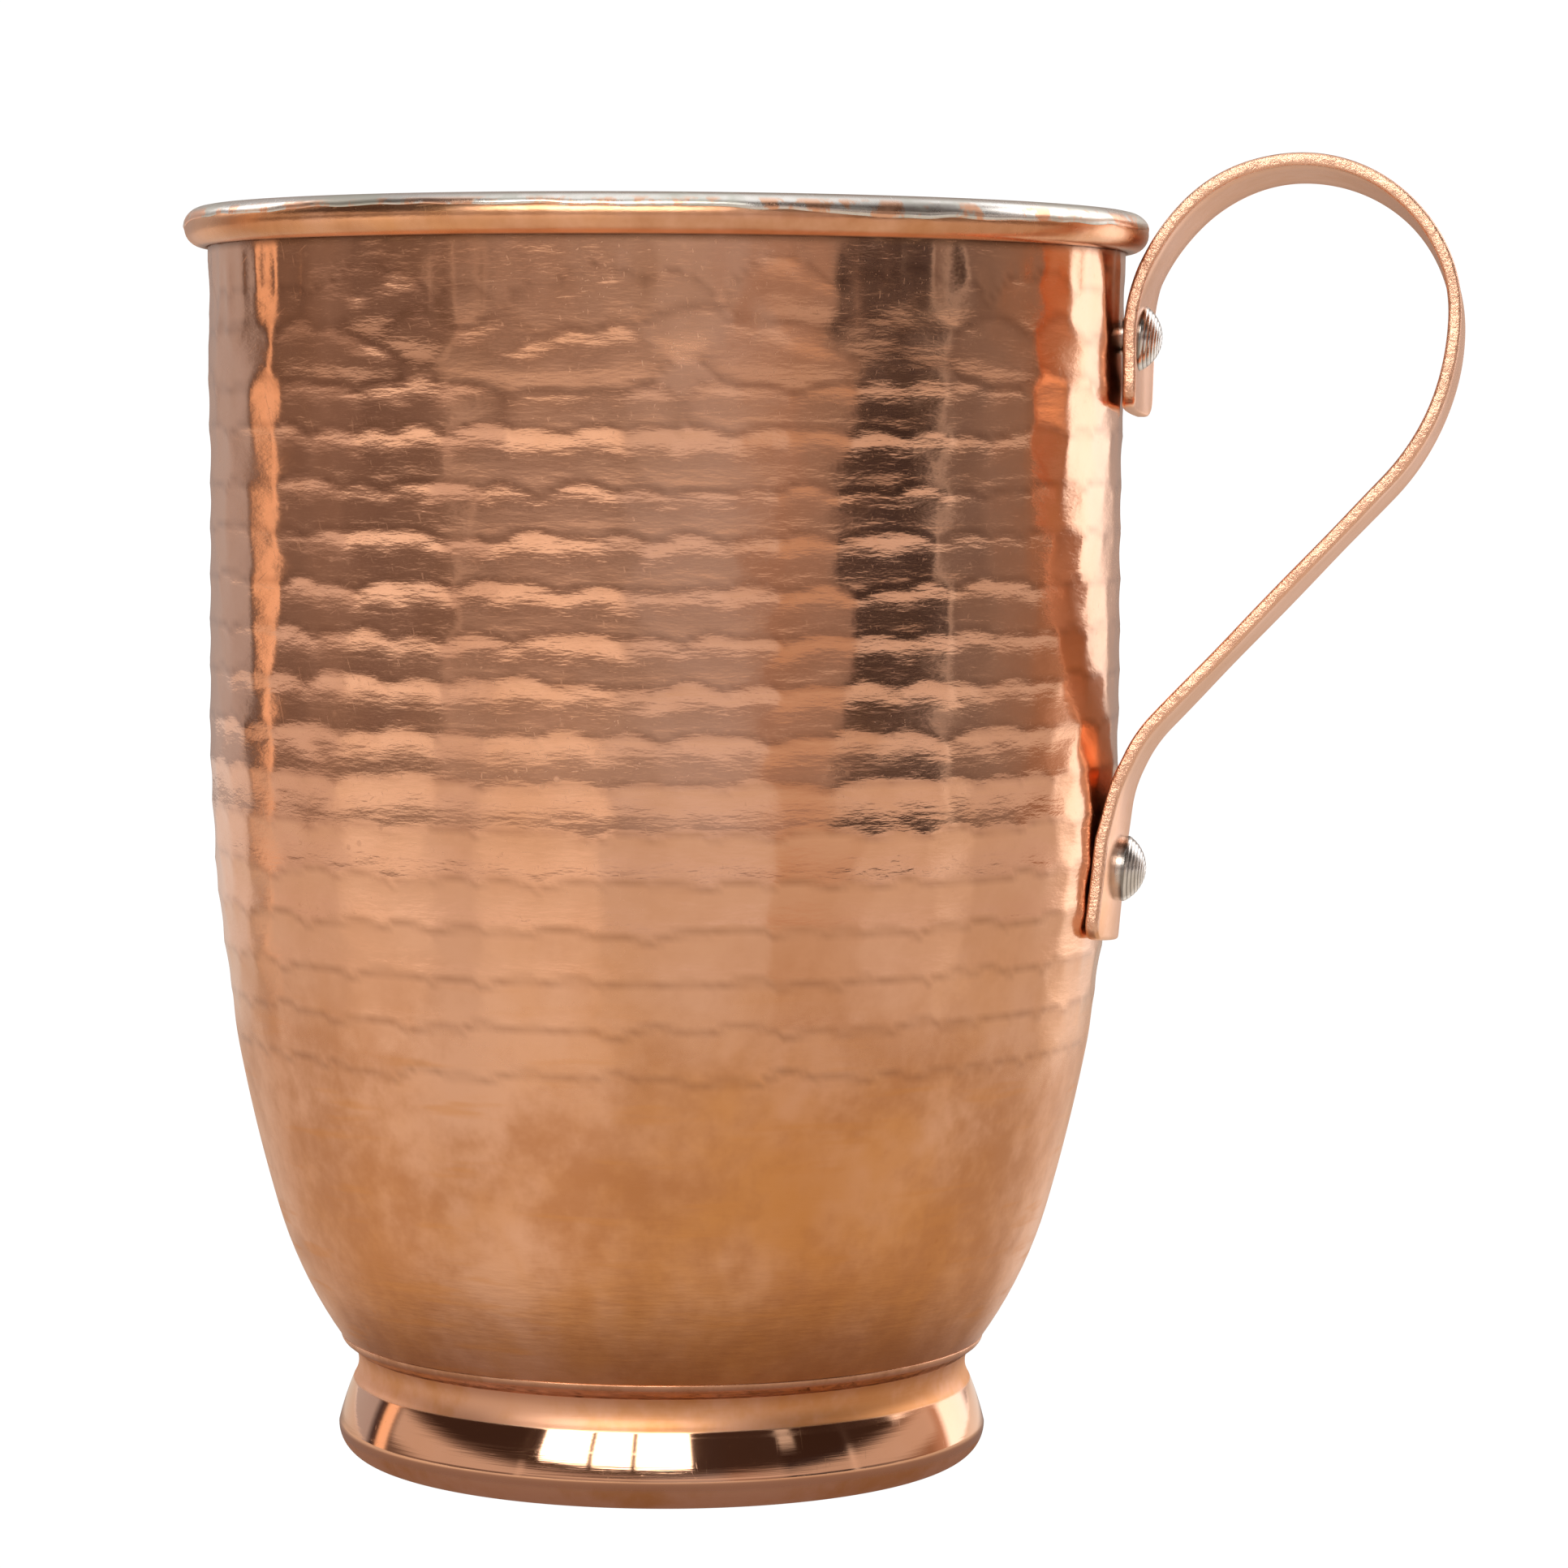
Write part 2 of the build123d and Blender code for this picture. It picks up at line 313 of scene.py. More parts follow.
# %% [markdown]
# ## The copper vessel
#
# The outline goes from the middle of the floor's underside, round the corner, up the outside of the wall,
# round the inside of the rolled rim, over the outside of the roll, and back down the inside. Points
# are close together only where the hammer marks need them.

# %% Vessel outline
MARK_STEP = 0.62 * MM
AROUND = 372
wall_top = BEAD[1] - sqrt((BEAD_R - SHEET) ** 2 - (BEAD[0] - WALL_R) ** 2)
inner_top = polar(BEAD, BEAD_R, 214)


def straight(radius, low, high, step):
    count = max(1, round(abs(high - low) / step))
    return [(radius, low + (high - low) * i / count) for i in range(1, count + 1)]


def body_outline():
    points = wall_line(0, MARK_STEP, 1.6 * MM)
    points += straight(WALL_R, STRAIGHT_FROM, wall_top, MARK_STEP)
    wire_start = degrees(atan2(wall_top - BEAD[1], WALL_R - BEAD[0])) % 360
    points += arc(BEAD, BEAD_R - SHEET, wire_start, -98, 0.5 * MM)[1:]
    points += arc(BEAD, BEAD_R, -98, 214, 0.32 * MM)
    points += straight(WALL_R - SHEET, inner_top[1], STRAIGHT_FROM, 6 * MM)
    inner = wall_line(SHEET, 6 * MM, 6 * MM)[:-1]
    return points + inner[::-1]


body = lathe("hammered_body", body_outline(), AROUND)


# %% [markdown]
# The spun vessel is smooth. The marks are pressed into the points of its outer wall, along the
# radius, and the slow waves are added so that it isn't a perfect cylinder.

# %% Press the marks
def wall_radius(height):
    """Outside radius of the drawn wall at a height."""
    long = shoulder[0] + np.sqrt(SHOULDER_R**2 - np.minimum(height - shoulder[1], 0) ** 2)
    low = belly[0] + np.sqrt(np.maximum(BELLY_R**2 - (height - belly[1]) ** 2, 0))
    return np.where(height > STRAIGHT_FROM, WALL_R, np.where(height > belly_top, long, low))


def press(piece, share, above, is_wall):
    """Move wall points inwards by a share of the marks' depth."""
    places = points_of(piece)
    radius = np.hypot(places[:, 0], places[:, 1])
    turn = np.arctan2(places[:, 1], places[:, 0])
    height = places[:, 2]
    wall = is_wall(radius, height) & (height > above) & (height < wall_top + 0.1 * MM)
    t, h = turn[wall], height[wall]
    ease = np.clip((wall_top - h) / (1.5 * MM), 0, 1) * np.clip((h - above) / (8 * MM), 0, 1)
    marks, ridge = hammered(t, h)
    depth = share * (np.maximum(marks, planished(t, h)) * ease) - waves(t, h) * ease
    new = (radius[wall] - depth) / radius[wall]
    places[wall, 0] *= new
    places[wall, 1] *= new
    move_points(piece, places)
    # how near each wall point is to a ridge, which the material uses to paint thin lines of shade
    ridges = np.zeros(len(places), np.float32)
    ridges[wall] = ridge
    piece.data.attributes.new("ridge", "FLOAT", "POINT").data.foreach_set("value", ridges)
    print(piece.name, "deepest mark", round(depth.max() / MM, 3), "mm")


press(body, 1.0, 24 * MM, lambda r, z: r > wall_radius(z) - 0.4 * SHEET)
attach(body, "root")
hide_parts("body_shell")

# %% [markdown]
# ## The tin lining
#
# Molten tin is wiped over the inside and over the top of the rim, and its edge on the outside is ragged.
# It is a thin turned skin. Its points on the rim are slid along the roll, so that the edge wanders, and
# the hammer marks show through inside, softened.

# %% Lining
TIN = 0.2 * MM
TIN_STOP = 12.0


def tin_outline():
    lap_top = polar(BEAD, BEAD_R, 214)
    outside = wall_line(SHEET, 2.5 * MM, 2.5 * MM)
    outside += straight(WALL_R - SHEET, STRAIGHT_FROM, lap_top[1], 6 * MM)
    outside += arc(BEAD, BEAD_R, 214, TIN_STOP, 0.4 * MM)[1:]
    inside = arc(BEAD, BEAD_R + TIN, TIN_STOP, 214, 0.3 * MM)
    inside += straight(WALL_R - SHEET - TIN, lap_top[1] - 0.2 * MM, STRAIGHT_FROM, 0.9 * MM)
    return outside + inside + wall_line(SHEET + TIN, 0.9 * MM, 2.0 * MM)[:-1][::-1]


tin = lathe("tin_coat", tin_outline(), 400)
press(tin, -0.45, 30 * MM, lambda r, z: r < wall_radius(z) - SHEET - 0.5 * TIN)

# %% [markdown]
# The tin's edge is found from a few sines of the angle round the mug. The points of the lap are slid
# along the roll until the last of them lies on that edge, and the skin gets thin there, as wiped tin does.

# %% Ragged edge of the tin
TIN_LOWEST, TIN_HIGHEST = -22, 48
edge_rng = np.random.default_rng(5)
edge_sines = [(n, edge_rng.uniform(0.4, 1.0) * 26 / n**0.75, edge_rng.uniform(0, 2 * pi)) for n in
              (2, 3, 5, 9, 14, 23, 37, 52, 71)]


def tin_edge(turn):
    """Where the tin stops round the roll, in degrees above its outermost line."""
    return TIN_STOP + sum(size * np.sin(n * turn + shift) for n, size, shift in edge_sines)


def ragged(piece):
    places = points_of(piece)
    radius = np.hypot(places[:, 0], places[:, 1])
    turn = np.arctan2(places[:, 1], places[:, 0])
    out, up = radius - BEAD[0], places[:, 2] - BEAD[1]
    reach, angle = np.hypot(out, up), np.degrees(np.arctan2(up, out))
    lap = (reach > BEAD_R - 0.05 * MM) & (angle > TIN_STOP - 1) & (angle < 90)
    stop = np.clip(tin_edge(turn[lap]), TIN_LOWEST, TIN_HIGHEST)
    slid = 90 - (90 - angle[lap]) * (90 - stop) / (90 - TIN_STOP)
    thin = np.clip((slid - stop) / 12, 0.12, 1) * (0.75 + 0.25 * np.clip((slid - 20) / 50, 0, 1))
    reach_new = BEAD_R + (reach[lap] - BEAD_R) * thin
    new_out = BEAD[0] + reach_new * np.cos(np.radians(slid))
    places[lap, 0], places[lap, 1] = new_out * np.cos(turn[lap]), new_out * np.sin(turn[lap])
    places[lap, 2] = BEAD[1] + reach_new * np.sin(np.radians(slid))
    move_points(piece, places)
    print("tin edge from", round(stop.min()), "to", round(stop.max()), "degrees")


ragged(tin)
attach(tin, "root")
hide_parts("tin_lining")

# %% [markdown]
# ## The spun foot
#
# The foot is a turned ring: a hollow neck under the seam, a crisp ridge, a polished band that swells a
# little, and a round lower edge. Its edges are softened by a fraction of a millimetre, as buffing leaves
# them.

# %% Foot outline
NECK_R, NECK_Z, COVE_R = 29.4 * MM, 9.0 * MM, 3.0 * MM
RIDGE_Z = 7.4 * MM
BAND_R, BAND_Z, FOOT_ROUND_R = foot_box[1][0], 3.0 * MM, 3.0 * MM
BAND_BULGE = 0.10 * MM
RECESS_R, RECESS_DEEP = 26.2 * MM, 4.5 * MM
SEAT_TURN, SEAT_IN, SEAT_OUT = -52.0, 2.6 * MM, 0.8 * MM
COVE_TURN = 138.0
SOLDER, SOLDER_FROM = 0.15 * MM, -78.0

seat_mid = polar(corner, CORNER_R + SOLDER, SEAT_TURN)
seat_in, seat_out = polar(seat_mid, SEAT_IN, SEAT_TURN - 90), polar(seat_mid, SEAT_OUT, SEAT_TURN + 90)


def bowed(start, end, bulge, step):
    """A run that swells sideways by bulge at its middle; plus is to the right of the way it goes."""
    count = max(2, round(hypot(end[0] - start[0], end[1] - start[1]) / step))
    long = hypot(end[0] - start[0], end[1] - start[1])
    side = ((end[1] - start[1]) / long, -(end[0] - start[0]) / long)
    points = []
    for i in range(count + 1):
        share = i / count
        out = bulge * 4 * share * (1 - share)
        points.append((start[0] + (end[0] - start[0]) * share + side[0] * out,
                       start[1] + (end[1] - start[1]) * share + side[1] * out))
    return points


def eased(before, tip, after, size):
    """Three points that round a crisp tip off by a small size."""
    def toward(a, b):
        long = hypot(b[0] - a[0], b[1] - a[1])
        return (a[0] + (b[0] - a[0]) * size / long, a[1] + (b[1] - a[1]) * size / long)
    p, q = toward(tip, before), toward(tip, after)
    middle = ((p[0] + q[0] + 2 * tip[0]) / 4, (p[1] + q[1] + 2 * tip[1]) / 4)
    return [p, middle, q]


def foot_outline():
    cove = (NECK_R + COVE_R, NECK_Z)
    ridge_turn = 180 + degrees(asin((NECK_Z - RIDGE_Z) / COVE_R))
    hollow = arc(cove, COVE_R, COVE_TURN, ridge_turn, 0.22 * MM)
    ridge = hollow[-1]
    band = bowed(ridge, (BAND_R, BAND_Z), -BAND_BULGE, 0.3 * MM)
    under = arc((BAND_R - FOOT_ROUND_R, BAND_Z), FOOT_ROUND_R, 0, -90, 0.25 * MM)
    points = eased(seat_in, seat_out, hollow[0], 0.12 * MM)
    points += hollow[:-1] + eased(hollow[-2], ridge, band[1], 0.10 * MM) + band[1:] + under[1:]
    points += eased(under[-1], (RECESS_R, 0), (RECESS_R, RECESS_DEEP), 0.25 * MM)
    points += [(RECESS_R, RECESS_DEEP * i / 3) for i in (1, 2, 3)]
    points += bowed((RECESS_R, RECESS_DEEP), seat_in, 0, 1.2 * MM)[1:]
    return points + bowed(seat_in, seat_out, 0, 0.8 * MM)[1:-1]


foot = lathe("spun_foot", foot_outline(), 288, closed=True)
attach(foot, "root")
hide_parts("foot_ring")

# %% [markdown]
# The solder fills the joint between the vessel and the foot. Only its outer edge shows, as a thin dull
# line, so it is a turned ring whose outer face is bowed out a little.

# %% Solder
def solder_outline():
    inner, outer = polar(corner, CORNER_R, SOLDER_FROM), polar(corner, CORNER_R, -BELLY_TURN)
    points = bowed(inner, seat_in, 0, 0.3 * MM) + bowed(seat_in, seat_out, 0, 0.5 * MM)[1:]
    points += bowed(seat_out, outer, 0.07 * MM, 0.15 * MM)[1:]
    return points + arc(corner, CORNER_R, -BELLY_TURN, SOLDER_FROM, 0.5 * MM)[1:-1]


solder = lathe("seam_solder", solder_outline(), 288, closed=True)
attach(solder, "root")
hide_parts("foot_solder")

# %% [markdown]
# ## The strap handle
#
# The handle is cut from flat bar and bent. It starts as a straight block that is divided along its length,
# its long edges are rounded with a bevel, and it is then laid along the bent line, which is straight runs
# and arcs that meet smoothly. Bending the finished bar keeps its edges even, as bending the real one does.

# %% The bent line
strap_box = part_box("handle_strap")
STRAP_W, STRAP_T, STRAP_GAP = 14.0 * MM, 1.25 * MM, 0.05 * MM
TOP_END_Z, LOW_END_Z, BEND_Z = 100.8 * MM, 50.7 * MM, 105.9 * MM
LOOP = (60.5 * MM, 109.4 * MM)
LOOP_R, SWEEP_R, LOW_BEND_R = 14.6 * MM, 22.9 * MM, 13.5 * MM
SLOPE, LOW_SEAT_Z = 46.8, 57.0 * MM
LEAN, LEAN_Z = 4.5, 85.0 * MM
TOP_RIVET_Z, LOW_RIVET_Z = 107.9 * MM, 57.6 * MM
BEND_STEP = 0.55 * MM

off_wall = STRAP_GAP + STRAP_T / 2
seat_x = WALL_R + off_wall
across, rise = LOOP[0] - seat_x, LOOP[1] - BEND_Z
bend_r = (LOOP_R**2 - across**2 - rise**2) / (2 * (LOOP_R - across))
bend = (seat_x + bend_r, BEND_Z)
bend_turn = degrees(atan2(LOOP[1] - bend[1], LOOP[0] - bend[0]))
sweep = (LOOP[0] + LOOP_R - SWEEP_R, LOOP[1])
low_turn = -degrees(asin((STRAIGHT_FROM - LOW_SEAT_Z) / SHOULDER_R))
low_mid = polar(shoulder, SHOULDER_R + off_wall, low_turn)
run_away, low_away = polar((0, 0), 1, SLOPE - 90), polar((0, 0), 1, low_turn)
print("upper bend radius", round(bend_r / MM, 2), "mm, lower seat turned", round(low_turn, 2), "degrees")


# %% [markdown]
# The lowest bend touches both the straight run and the seat on the wall, so its centre lies one bend
# radius from each. That gives two equations, which are solved for the centre. The whole line is then
# put together from its runs and arcs, from the top end down.

# %% Draw the line
def low_bend_centre():
    start = polar(sweep, SWEEP_R, SLOPE - 90)
    a = LOW_BEND_R + start[0] * run_away[0] + start[1] * run_away[1]
    b = LOW_BEND_R + low_mid[0] * low_away[0] + low_mid[1] * low_away[1]
    det = run_away[0] * low_away[1] - run_away[1] * low_away[0]
    return ((a * low_away[1] - b * run_away[1]) / det, (b * run_away[0] - a * low_away[0]) / det)


def low_seat(height):
    """A point of the middle line where the bar lies on the wall below."""
    down = (low_mid[1] - height) / low_away[0]
    return (low_mid[0] + down * low_away[1], height)


def bar_line():
    low_bend = low_bend_centre()
    run_from, run_to = polar(sweep, SWEEP_R, SLOPE - 90), polar(low_bend, LOW_BEND_R, SLOPE + 90)
    points = bowed((seat_x, TOP_END_Z), (seat_x, BEND_Z), 0, BEND_STEP)
    points += arc(bend, bend_r, 180, bend_turn, BEND_STEP)[1:]
    points += arc(LOOP, LOOP_R, bend_turn, 0, BEND_STEP)[1:]
    points += arc(sweep, SWEEP_R, 0, SLOPE - 90, BEND_STEP)[1:]
    points += bowed(run_from, run_to, 0, BEND_STEP)[1:]
    points += arc(low_bend, LOW_BEND_R, SLOPE + 90, 180 + low_turn, BEND_STEP)[1:]
    return np.array(points + bowed(points[-1], low_seat(LOW_END_Z), 0, BEND_STEP)[1:])


line = bar_line()
line_at = np.concatenate([[0], np.cumsum(np.hypot(*np.diff(line, axis=0).T))])
bar_length = line_at[-1]
print("bar length", round(bar_length / MM, 1), "mm in", len(line) - 1, "steps")

# %% [markdown]
# The block lies along X, its width along Y and its thickness along Z. Its four upright corners are
# bevelled first, to make the clipped ends, then the long edges, and then the whole is divided by bisecting
# it across at every step and along at a few places.

# %% The straight bar
STRAP_CORNER_R, EDGE_ROUND = 1.8 * MM, 0.34 * MM


def select_edges(piece, wanted):
    """Select the edges whose two ends pass a test, in edit mode's edge selection."""
    bpy.ops.object.mode_set(mode="EDIT")
    bpy.ops.mesh.select_mode(type="EDGE")
    bpy.ops.mesh.select_all(action="DESELECT")
    bpy.ops.object.mode_set(mode="OBJECT")
    spots = [v.co.copy() for v in piece.data.vertices]
    for edge in piece.data.edges:
        edge.select = bool(wanted(spots[edge.vertices[0]], spots[edge.vertices[1]]))
    bpy.ops.object.mode_set(mode="EDIT")


def cut(normal, place):
    bpy.ops.mesh.select_all(action="SELECT")
    bpy.ops.mesh.bisect(plane_co=place, plane_no=normal)


def straight_bar():
    bpy.ops.object.select_all(action="DESELECT")
    size = (bar_length, STRAP_W, STRAP_T)
    bpy.ops.mesh.primitive_cube_add(size=1, location=(bar_length / 2, 0, 0), scale=size)
    bar = bpy.context.object
    bar.name = bar.data.name = "strap_handle"
    bpy.ops.object.transform_apply(location=True, rotation=False, scale=True)
    select_edges(bar, lambda a, b: abs(a.z - b.z) > STRAP_T / 2)
    bpy.ops.mesh.bevel(offset=STRAP_CORNER_R, segments=6, affect="EDGES")
    bpy.ops.object.mode_set(mode="OBJECT")
    select_edges(bar, lambda a, b: abs(a.z - b.z) < STRAP_T / 9)
    bpy.ops.mesh.bevel(offset=EDGE_ROUND, segments=4, affect="EDGES")
    for place in np.linspace(-1, 1, 9)[1:-1] * (STRAP_W / 2 - STRAP_CORNER_R):
        cut((0, 1, 0), (0, place, 0))
    for place in line_at[1:-1]:
        cut((1, 0, 0), (place, 0, 0))
    bpy.ops.object.mode_set(mode="OBJECT")
    print(bar.name, len(bar.data.polygons), "faces when straight")
    return bar


strap = straight_bar()

# %% [markdown]
# Each point of the bar keeps its distance from the middle line. Its place along the bar gives the point
# of the line, and its height gives the way out from the line. The bar was filed by hand, so its edges
# and faces wander by some hundredths of a millimetre. Its two ends were hammered down onto the round
# wall, so there they are dished across their width to lie on it.

# %% Bend the bar
TOP_HUG, LOW_HUG = 5.5 * MM, 9.5 * MM
HUG_FADE, HUG_PRESS = 7.5 * MM, 0.12 * MM
EDGE_WANDER, FACE_WANDER = 0.07 * MM, 0.025 * MM


def bend_bar(bar):
    places = points_of(bar)
    along, side, out = places[:, 0].copy(), places[:, 1].copy(), places[:, 2].copy()
    side += EDGE_WANDER * np.sign(side) * (np.sin(along / (3.1 * MM)) + np.sin(along / (1.3 * MM) + 1) * 0.6)
    ripple = np.sin(along / (2.3 * MM) + side / (4 * MM)) - 1
    out += FACE_WANDER * ripple * np.clip(along / (8 * MM), 0, 1)
    x = np.interp(along, line_at, line[:, 0])
    z = np.interp(along, line_at, line[:, 1])
    past_seat = np.minimum(along - TOP_HUG, bar_length - along - LOW_HUG)
    lies = np.clip(1 - past_seat / HUG_FADE, 0, 1)
    off_middle = side + (z - LEAN_Z) * sin(radians(LEAN))
    out -= lies * (WALL_R - np.sqrt(WALL_R**2 - off_middle**2) + HUG_PRESS)
    ahead, behind = along + 0.3 * MM, along - 0.3 * MM
    dx = np.interp(ahead, line_at, line[:, 0]) - np.interp(behind, line_at, line[:, 0])
    dz = np.interp(ahead, line_at, line[:, 1]) - np.interp(behind, line_at, line[:, 1])
    long = np.hypot(dx, dz)
    places[:, 0] = x - dz / long * out
    places[:, 1] = side
    places[:, 2] = z + dx / long * out
    move_points(bar, places)


def lean_piece(piece):
    """Set a handle piece off upright, as the whole handle is."""
    only(piece)
    pivot = Matrix.Translation((0, 0, LEAN_Z))
    piece.data.transform(pivot @ Matrix.Rotation(radians(-LEAN), 4, "X") @ pivot.inverted())
    piece.data.update()


bend_bar(strap)
lean_piece(strap)
only(strap)
bpy.ops.object.mode_set(mode="EDIT")
bpy.ops.mesh.select_all(action="SELECT")
bpy.ops.mesh.remove_doubles(threshold=0.001 * MM)
bpy.ops.mesh.normals_make_consistent(inside=False)
bpy.ops.object.mode_set(mode="OBJECT")
bpy.ops.object.shade_smooth_by_angle(angle=radians(50))
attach(strap, "root")
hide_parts("handle_strap")
spread = points_of(strap)
print("strap x to", round(spread[:, 0].max() / MM, 2), "and its solid's", round(strap_box[1][0] / MM, 2))

# %% [markdown]
# ## The rivets
#
# Each rivet is turned: a dome with fine tool rings outside, a shank, and a flat head inside the mug.
# It is turned upright and then laid along its own line through the bar and the wall.

# %% Rivets
RIVET_R, HEAD_R, HEAD_H, HEAD_LAND = 1.75 * MM, 3.1 * MM, 2.2 * MM, 0.4 * MM
HEAD_BASE = -0.45 * MM
PAN_R, PAN_H, PAN_EDGE = 3.8 * MM, 1.1 * MM, 0.5 * MM
RING_PITCH, RING_DEEP = 0.44 * MM, 0.05 * MM
DOME_R = (HEAD_R**2 + (HEAD_H - HEAD_LAND) ** 2) / (2 * (HEAD_H - HEAD_LAND))
wall_depth = STRAP_T + STRAP_GAP + SHEET + TIN


def rings(radius):
    """How deep in a ring a place of the dome is, from 0 to 1. The rings are evenly spaced along the dome."""
    along = DOME_R * np.arcsin(np.minimum(radius / DOME_R, 1))
    return 0.5 - 0.5 * np.cos(2 * pi * along / RING_PITCH)


def rivet_outline():
    dome = cap(HEAD_H, (HEAD_R, HEAD_LAND), 0.085 * MM)
    ringed = [(r, z - RING_DEEP * rings(r)) for r, z in dome]
    back = -wall_depth - PAN_H
    points = ringed + [(HEAD_R, HEAD_LAND * 0.5), (HEAD_R - 0.05 * MM, HEAD_BASE), (RIVET_R, HEAD_BASE)]
    points += [(RIVET_R, -wall_depth + 0.06 * MM), (PAN_R - 0.15 * MM, -wall_depth + 0.06 * MM)]
    points += [(PAN_R, -wall_depth - 0.2 * MM), (PAN_R, back + PAN_EDGE)]
    points += arc((PAN_R - PAN_EDGE, back + PAN_EDGE), PAN_EDGE, 0, -90, 0.15 * MM)[1:]
    return points + [(PAN_R * 0.4, back - 0.05 * MM), (0, back - 0.06 * MM)]


# %% [markdown]
# Before a rivet is laid in its place, it stores how deep in a ring each of its points is, so that the
# material can darken the rings. The upper rivet follows the bend of the bar, and the lower one the slope
# of the wall.

# %% Two rivets
def make_rivet(name, node, spot, turn, roll):
    rivet = lathe(name, rivet_outline(), 96)
    places = points_of(rivet)
    groove = rings(np.hypot(places[:, 0], places[:, 1])) * (places[:, 2] > 0)
    rivet.data.attributes.new("groove", "FLOAT", "POINT").data.foreach_set("value", groove.astype(np.float32))
    out = Vector((cos(radians(turn)), 0, sin(radians(turn))))
    lay = out.to_track_quat("Z", "Y").to_matrix().to_4x4() @ Matrix.Rotation(radians(roll), 4, "Z")
    rivet.data.transform(Matrix.Translation((spot[0], 0, spot[1])) @ lay)
    lean_piece(rivet)
    bpy.ops.object.shade_smooth_by_angle(angle=radians(40))
    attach(rivet, "root")
    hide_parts(node)
    return rivet


top_turn = degrees(asin((TOP_RIVET_Z - BEND_Z) / bend_r))
top_spot = polar(bend, bend_r - STRAP_T / 2, 180 - top_turn)
low_middle = low_seat(LOW_RIVET_Z)
low_spot = (low_middle[0] + low_away[0] * STRAP_T / 2, low_middle[1] + low_away[1] * STRAP_T / 2)
rivets = [
    make_rivet("rivet_top", "upper_rivet", top_spot, -top_turn, 20),
    make_rivet("rivet_bottom", "lower_rivet", low_spot, low_turn, 130),
]

# %% [markdown]
# ## Building materials
#
# A few short helpers keep the node code readable. Each adds one node to a tree, and a value given for an
# input is either a number or another node's output.

# %% Node helpers
def add(tree, kind, settings=None, **inputs):
    made = tree.nodes.new("ShaderNode" + kind)
    for key, value in (settings or {}).items():
        setattr(made, key, value)
    for key, value in inputs.items():
        spot = made.inputs[int(key[1:])] if key[1:].isdigit() else made.inputs[key.replace("_", " ")]
        if isinstance(value, bpy.types.NodeSocket):
            tree.links.new(value, spot)
        else:
            spot.default_value = value
    return made


def calc(tree, operation, a, b=0.0):
    return add(tree, "Math", {"operation": operation}, i0=a, i1=b).outputs[0]


def times(tree, *values):
    return reduce(lambda a, b: calc(tree, "MULTIPLY", a, b), values)


def plus(tree, *values):
    return reduce(lambda a, b: calc(tree, "ADD", a, b), values)


def blend(tree, share, a, b):
    """A colour between a and b."""
    return add(tree, "Mix", {"data_type": "RGBA"}, i0=share, i6=a, i7=b).outputs[2]


def between(tree, value, low, high, to_low=0.0, to_high=1.0):
    """A value run from one span into another, easing at both ends."""
    eased_both = {"interpolation_type": "SMOOTHSTEP"}
    return add(tree, "MapRange", eased_both, i0=value, i1=low, i2=high, i3=to_low, i4=to_high).outputs[0]


def stretched(tree, where, amounts):
    """A place with each of its parts multiplied by its own amount."""
    return add(tree, "VectorMath", {"operation": "MULTIPLY"}, i0=where, i1=amounts).outputs[0]


def stored(tree, name):
    """A value that is stored on the points of the piece."""
    return add(tree, "Attribute", {"attribute_name": name}).outputs["Fac"]


# %% [markdown]
# A shader node group is an effect with named inputs and outputs. It is made once, and each material that
# uses it gives it its own values. Patterns that run round the mug need a point's distance from the axis
# and its direction from it, which are worked out from Object coordinates, so they stay on the mug.

# %% Groups and places
def noise(tree, where, scale, detail=2.0, rough=0.5):
    return add(tree, "TexNoise", None, Vector=where, Scale=scale, Detail=detail, Roughness=rough).outputs[0]


def new_group(name, inputs, outputs):
    """An effect with named sockets. Each input has a type and a starting value."""
    tree = bpy.data.node_groups.new(name, "ShaderNodeTree")
    for key, (kind, value) in inputs.items():
        tree.interface.new_socket(key, in_out="INPUT", socket_type="NodeSocket" + kind).default_value = value
    for key, kind in outputs.items():
        tree.interface.new_socket(key, in_out="OUTPUT", socket_type="NodeSocket" + kind)
    return tree, tree.nodes.new("NodeGroupInput").outputs, tree.nodes.new("NodeGroupOutput").inputs


def use(tree, group, **inputs):
    """Place an effect in a material with its own values."""
    made = tree.nodes.new("ShaderNodeGroup")
    made.node_tree = group
    for key, value in inputs.items():
        spot = made.inputs[key.replace("_", " ")]
        if isinstance(value, bpy.types.NodeSocket):
            tree.links.new(value, spot)
        else:
            spot.default_value = value
    return made.outputs


def round_place(tree):
    """Object coordinates and, from them, the distance from the mug's axis, the two parts of the direction
    from it, and the height."""
    place = add(tree, "TexCoord").outputs["Object"]
    x, y, z = add(tree, "SeparateXYZ", None, Vector=place).outputs
    away = calc(tree, "SQRT", plus(tree, times(tree, x, x), times(tree, y, y)))
    away = calc(tree, "MAXIMUM", away, 1e-5)
    return place, away, calc(tree, "DIVIDE", x, away), calc(tree, "DIVIDE", y, away), z


# %% [markdown]
# ## Shared effects
#
# Copper that has been handled and heated is never one colour. This effect mixes a second, browner colour
# into the first in soft clouds. It is used by the vessel, the foot and the handle.

# %% Effect: clouded metal
def make_clouds():
    tree, given, out = new_group(
        "clouded_metal",
        {"Clean": ("Color", (1, 1, 1, 1)), "Stained": ("Color", (1, 1, 1, 1)),
         "Scale": ("Float", 40.0), "Amount": ("Float", 0.5)},
        {"Color": "Color", "Mask": "Float"},
    )
    place = add(tree, "TexCoord").outputs["Object"]
    broad = noise(tree, place, given["Scale"], 5.0, 0.62)
    fine = noise(tree, place, times(tree, given["Scale"], 7.0), 3.0, 0.6)
    mask = between(tree, plus(tree, times(tree, broad, 0.75), times(tree, fine, 0.25)), 0.40, 0.64)
    mask = times(tree, mask, given["Amount"])
    tree.links.new(blend(tree, mask, given["Clean"], given["Stained"]), out["Color"])
    tree.links.new(mask, out["Mask"])
    return tree


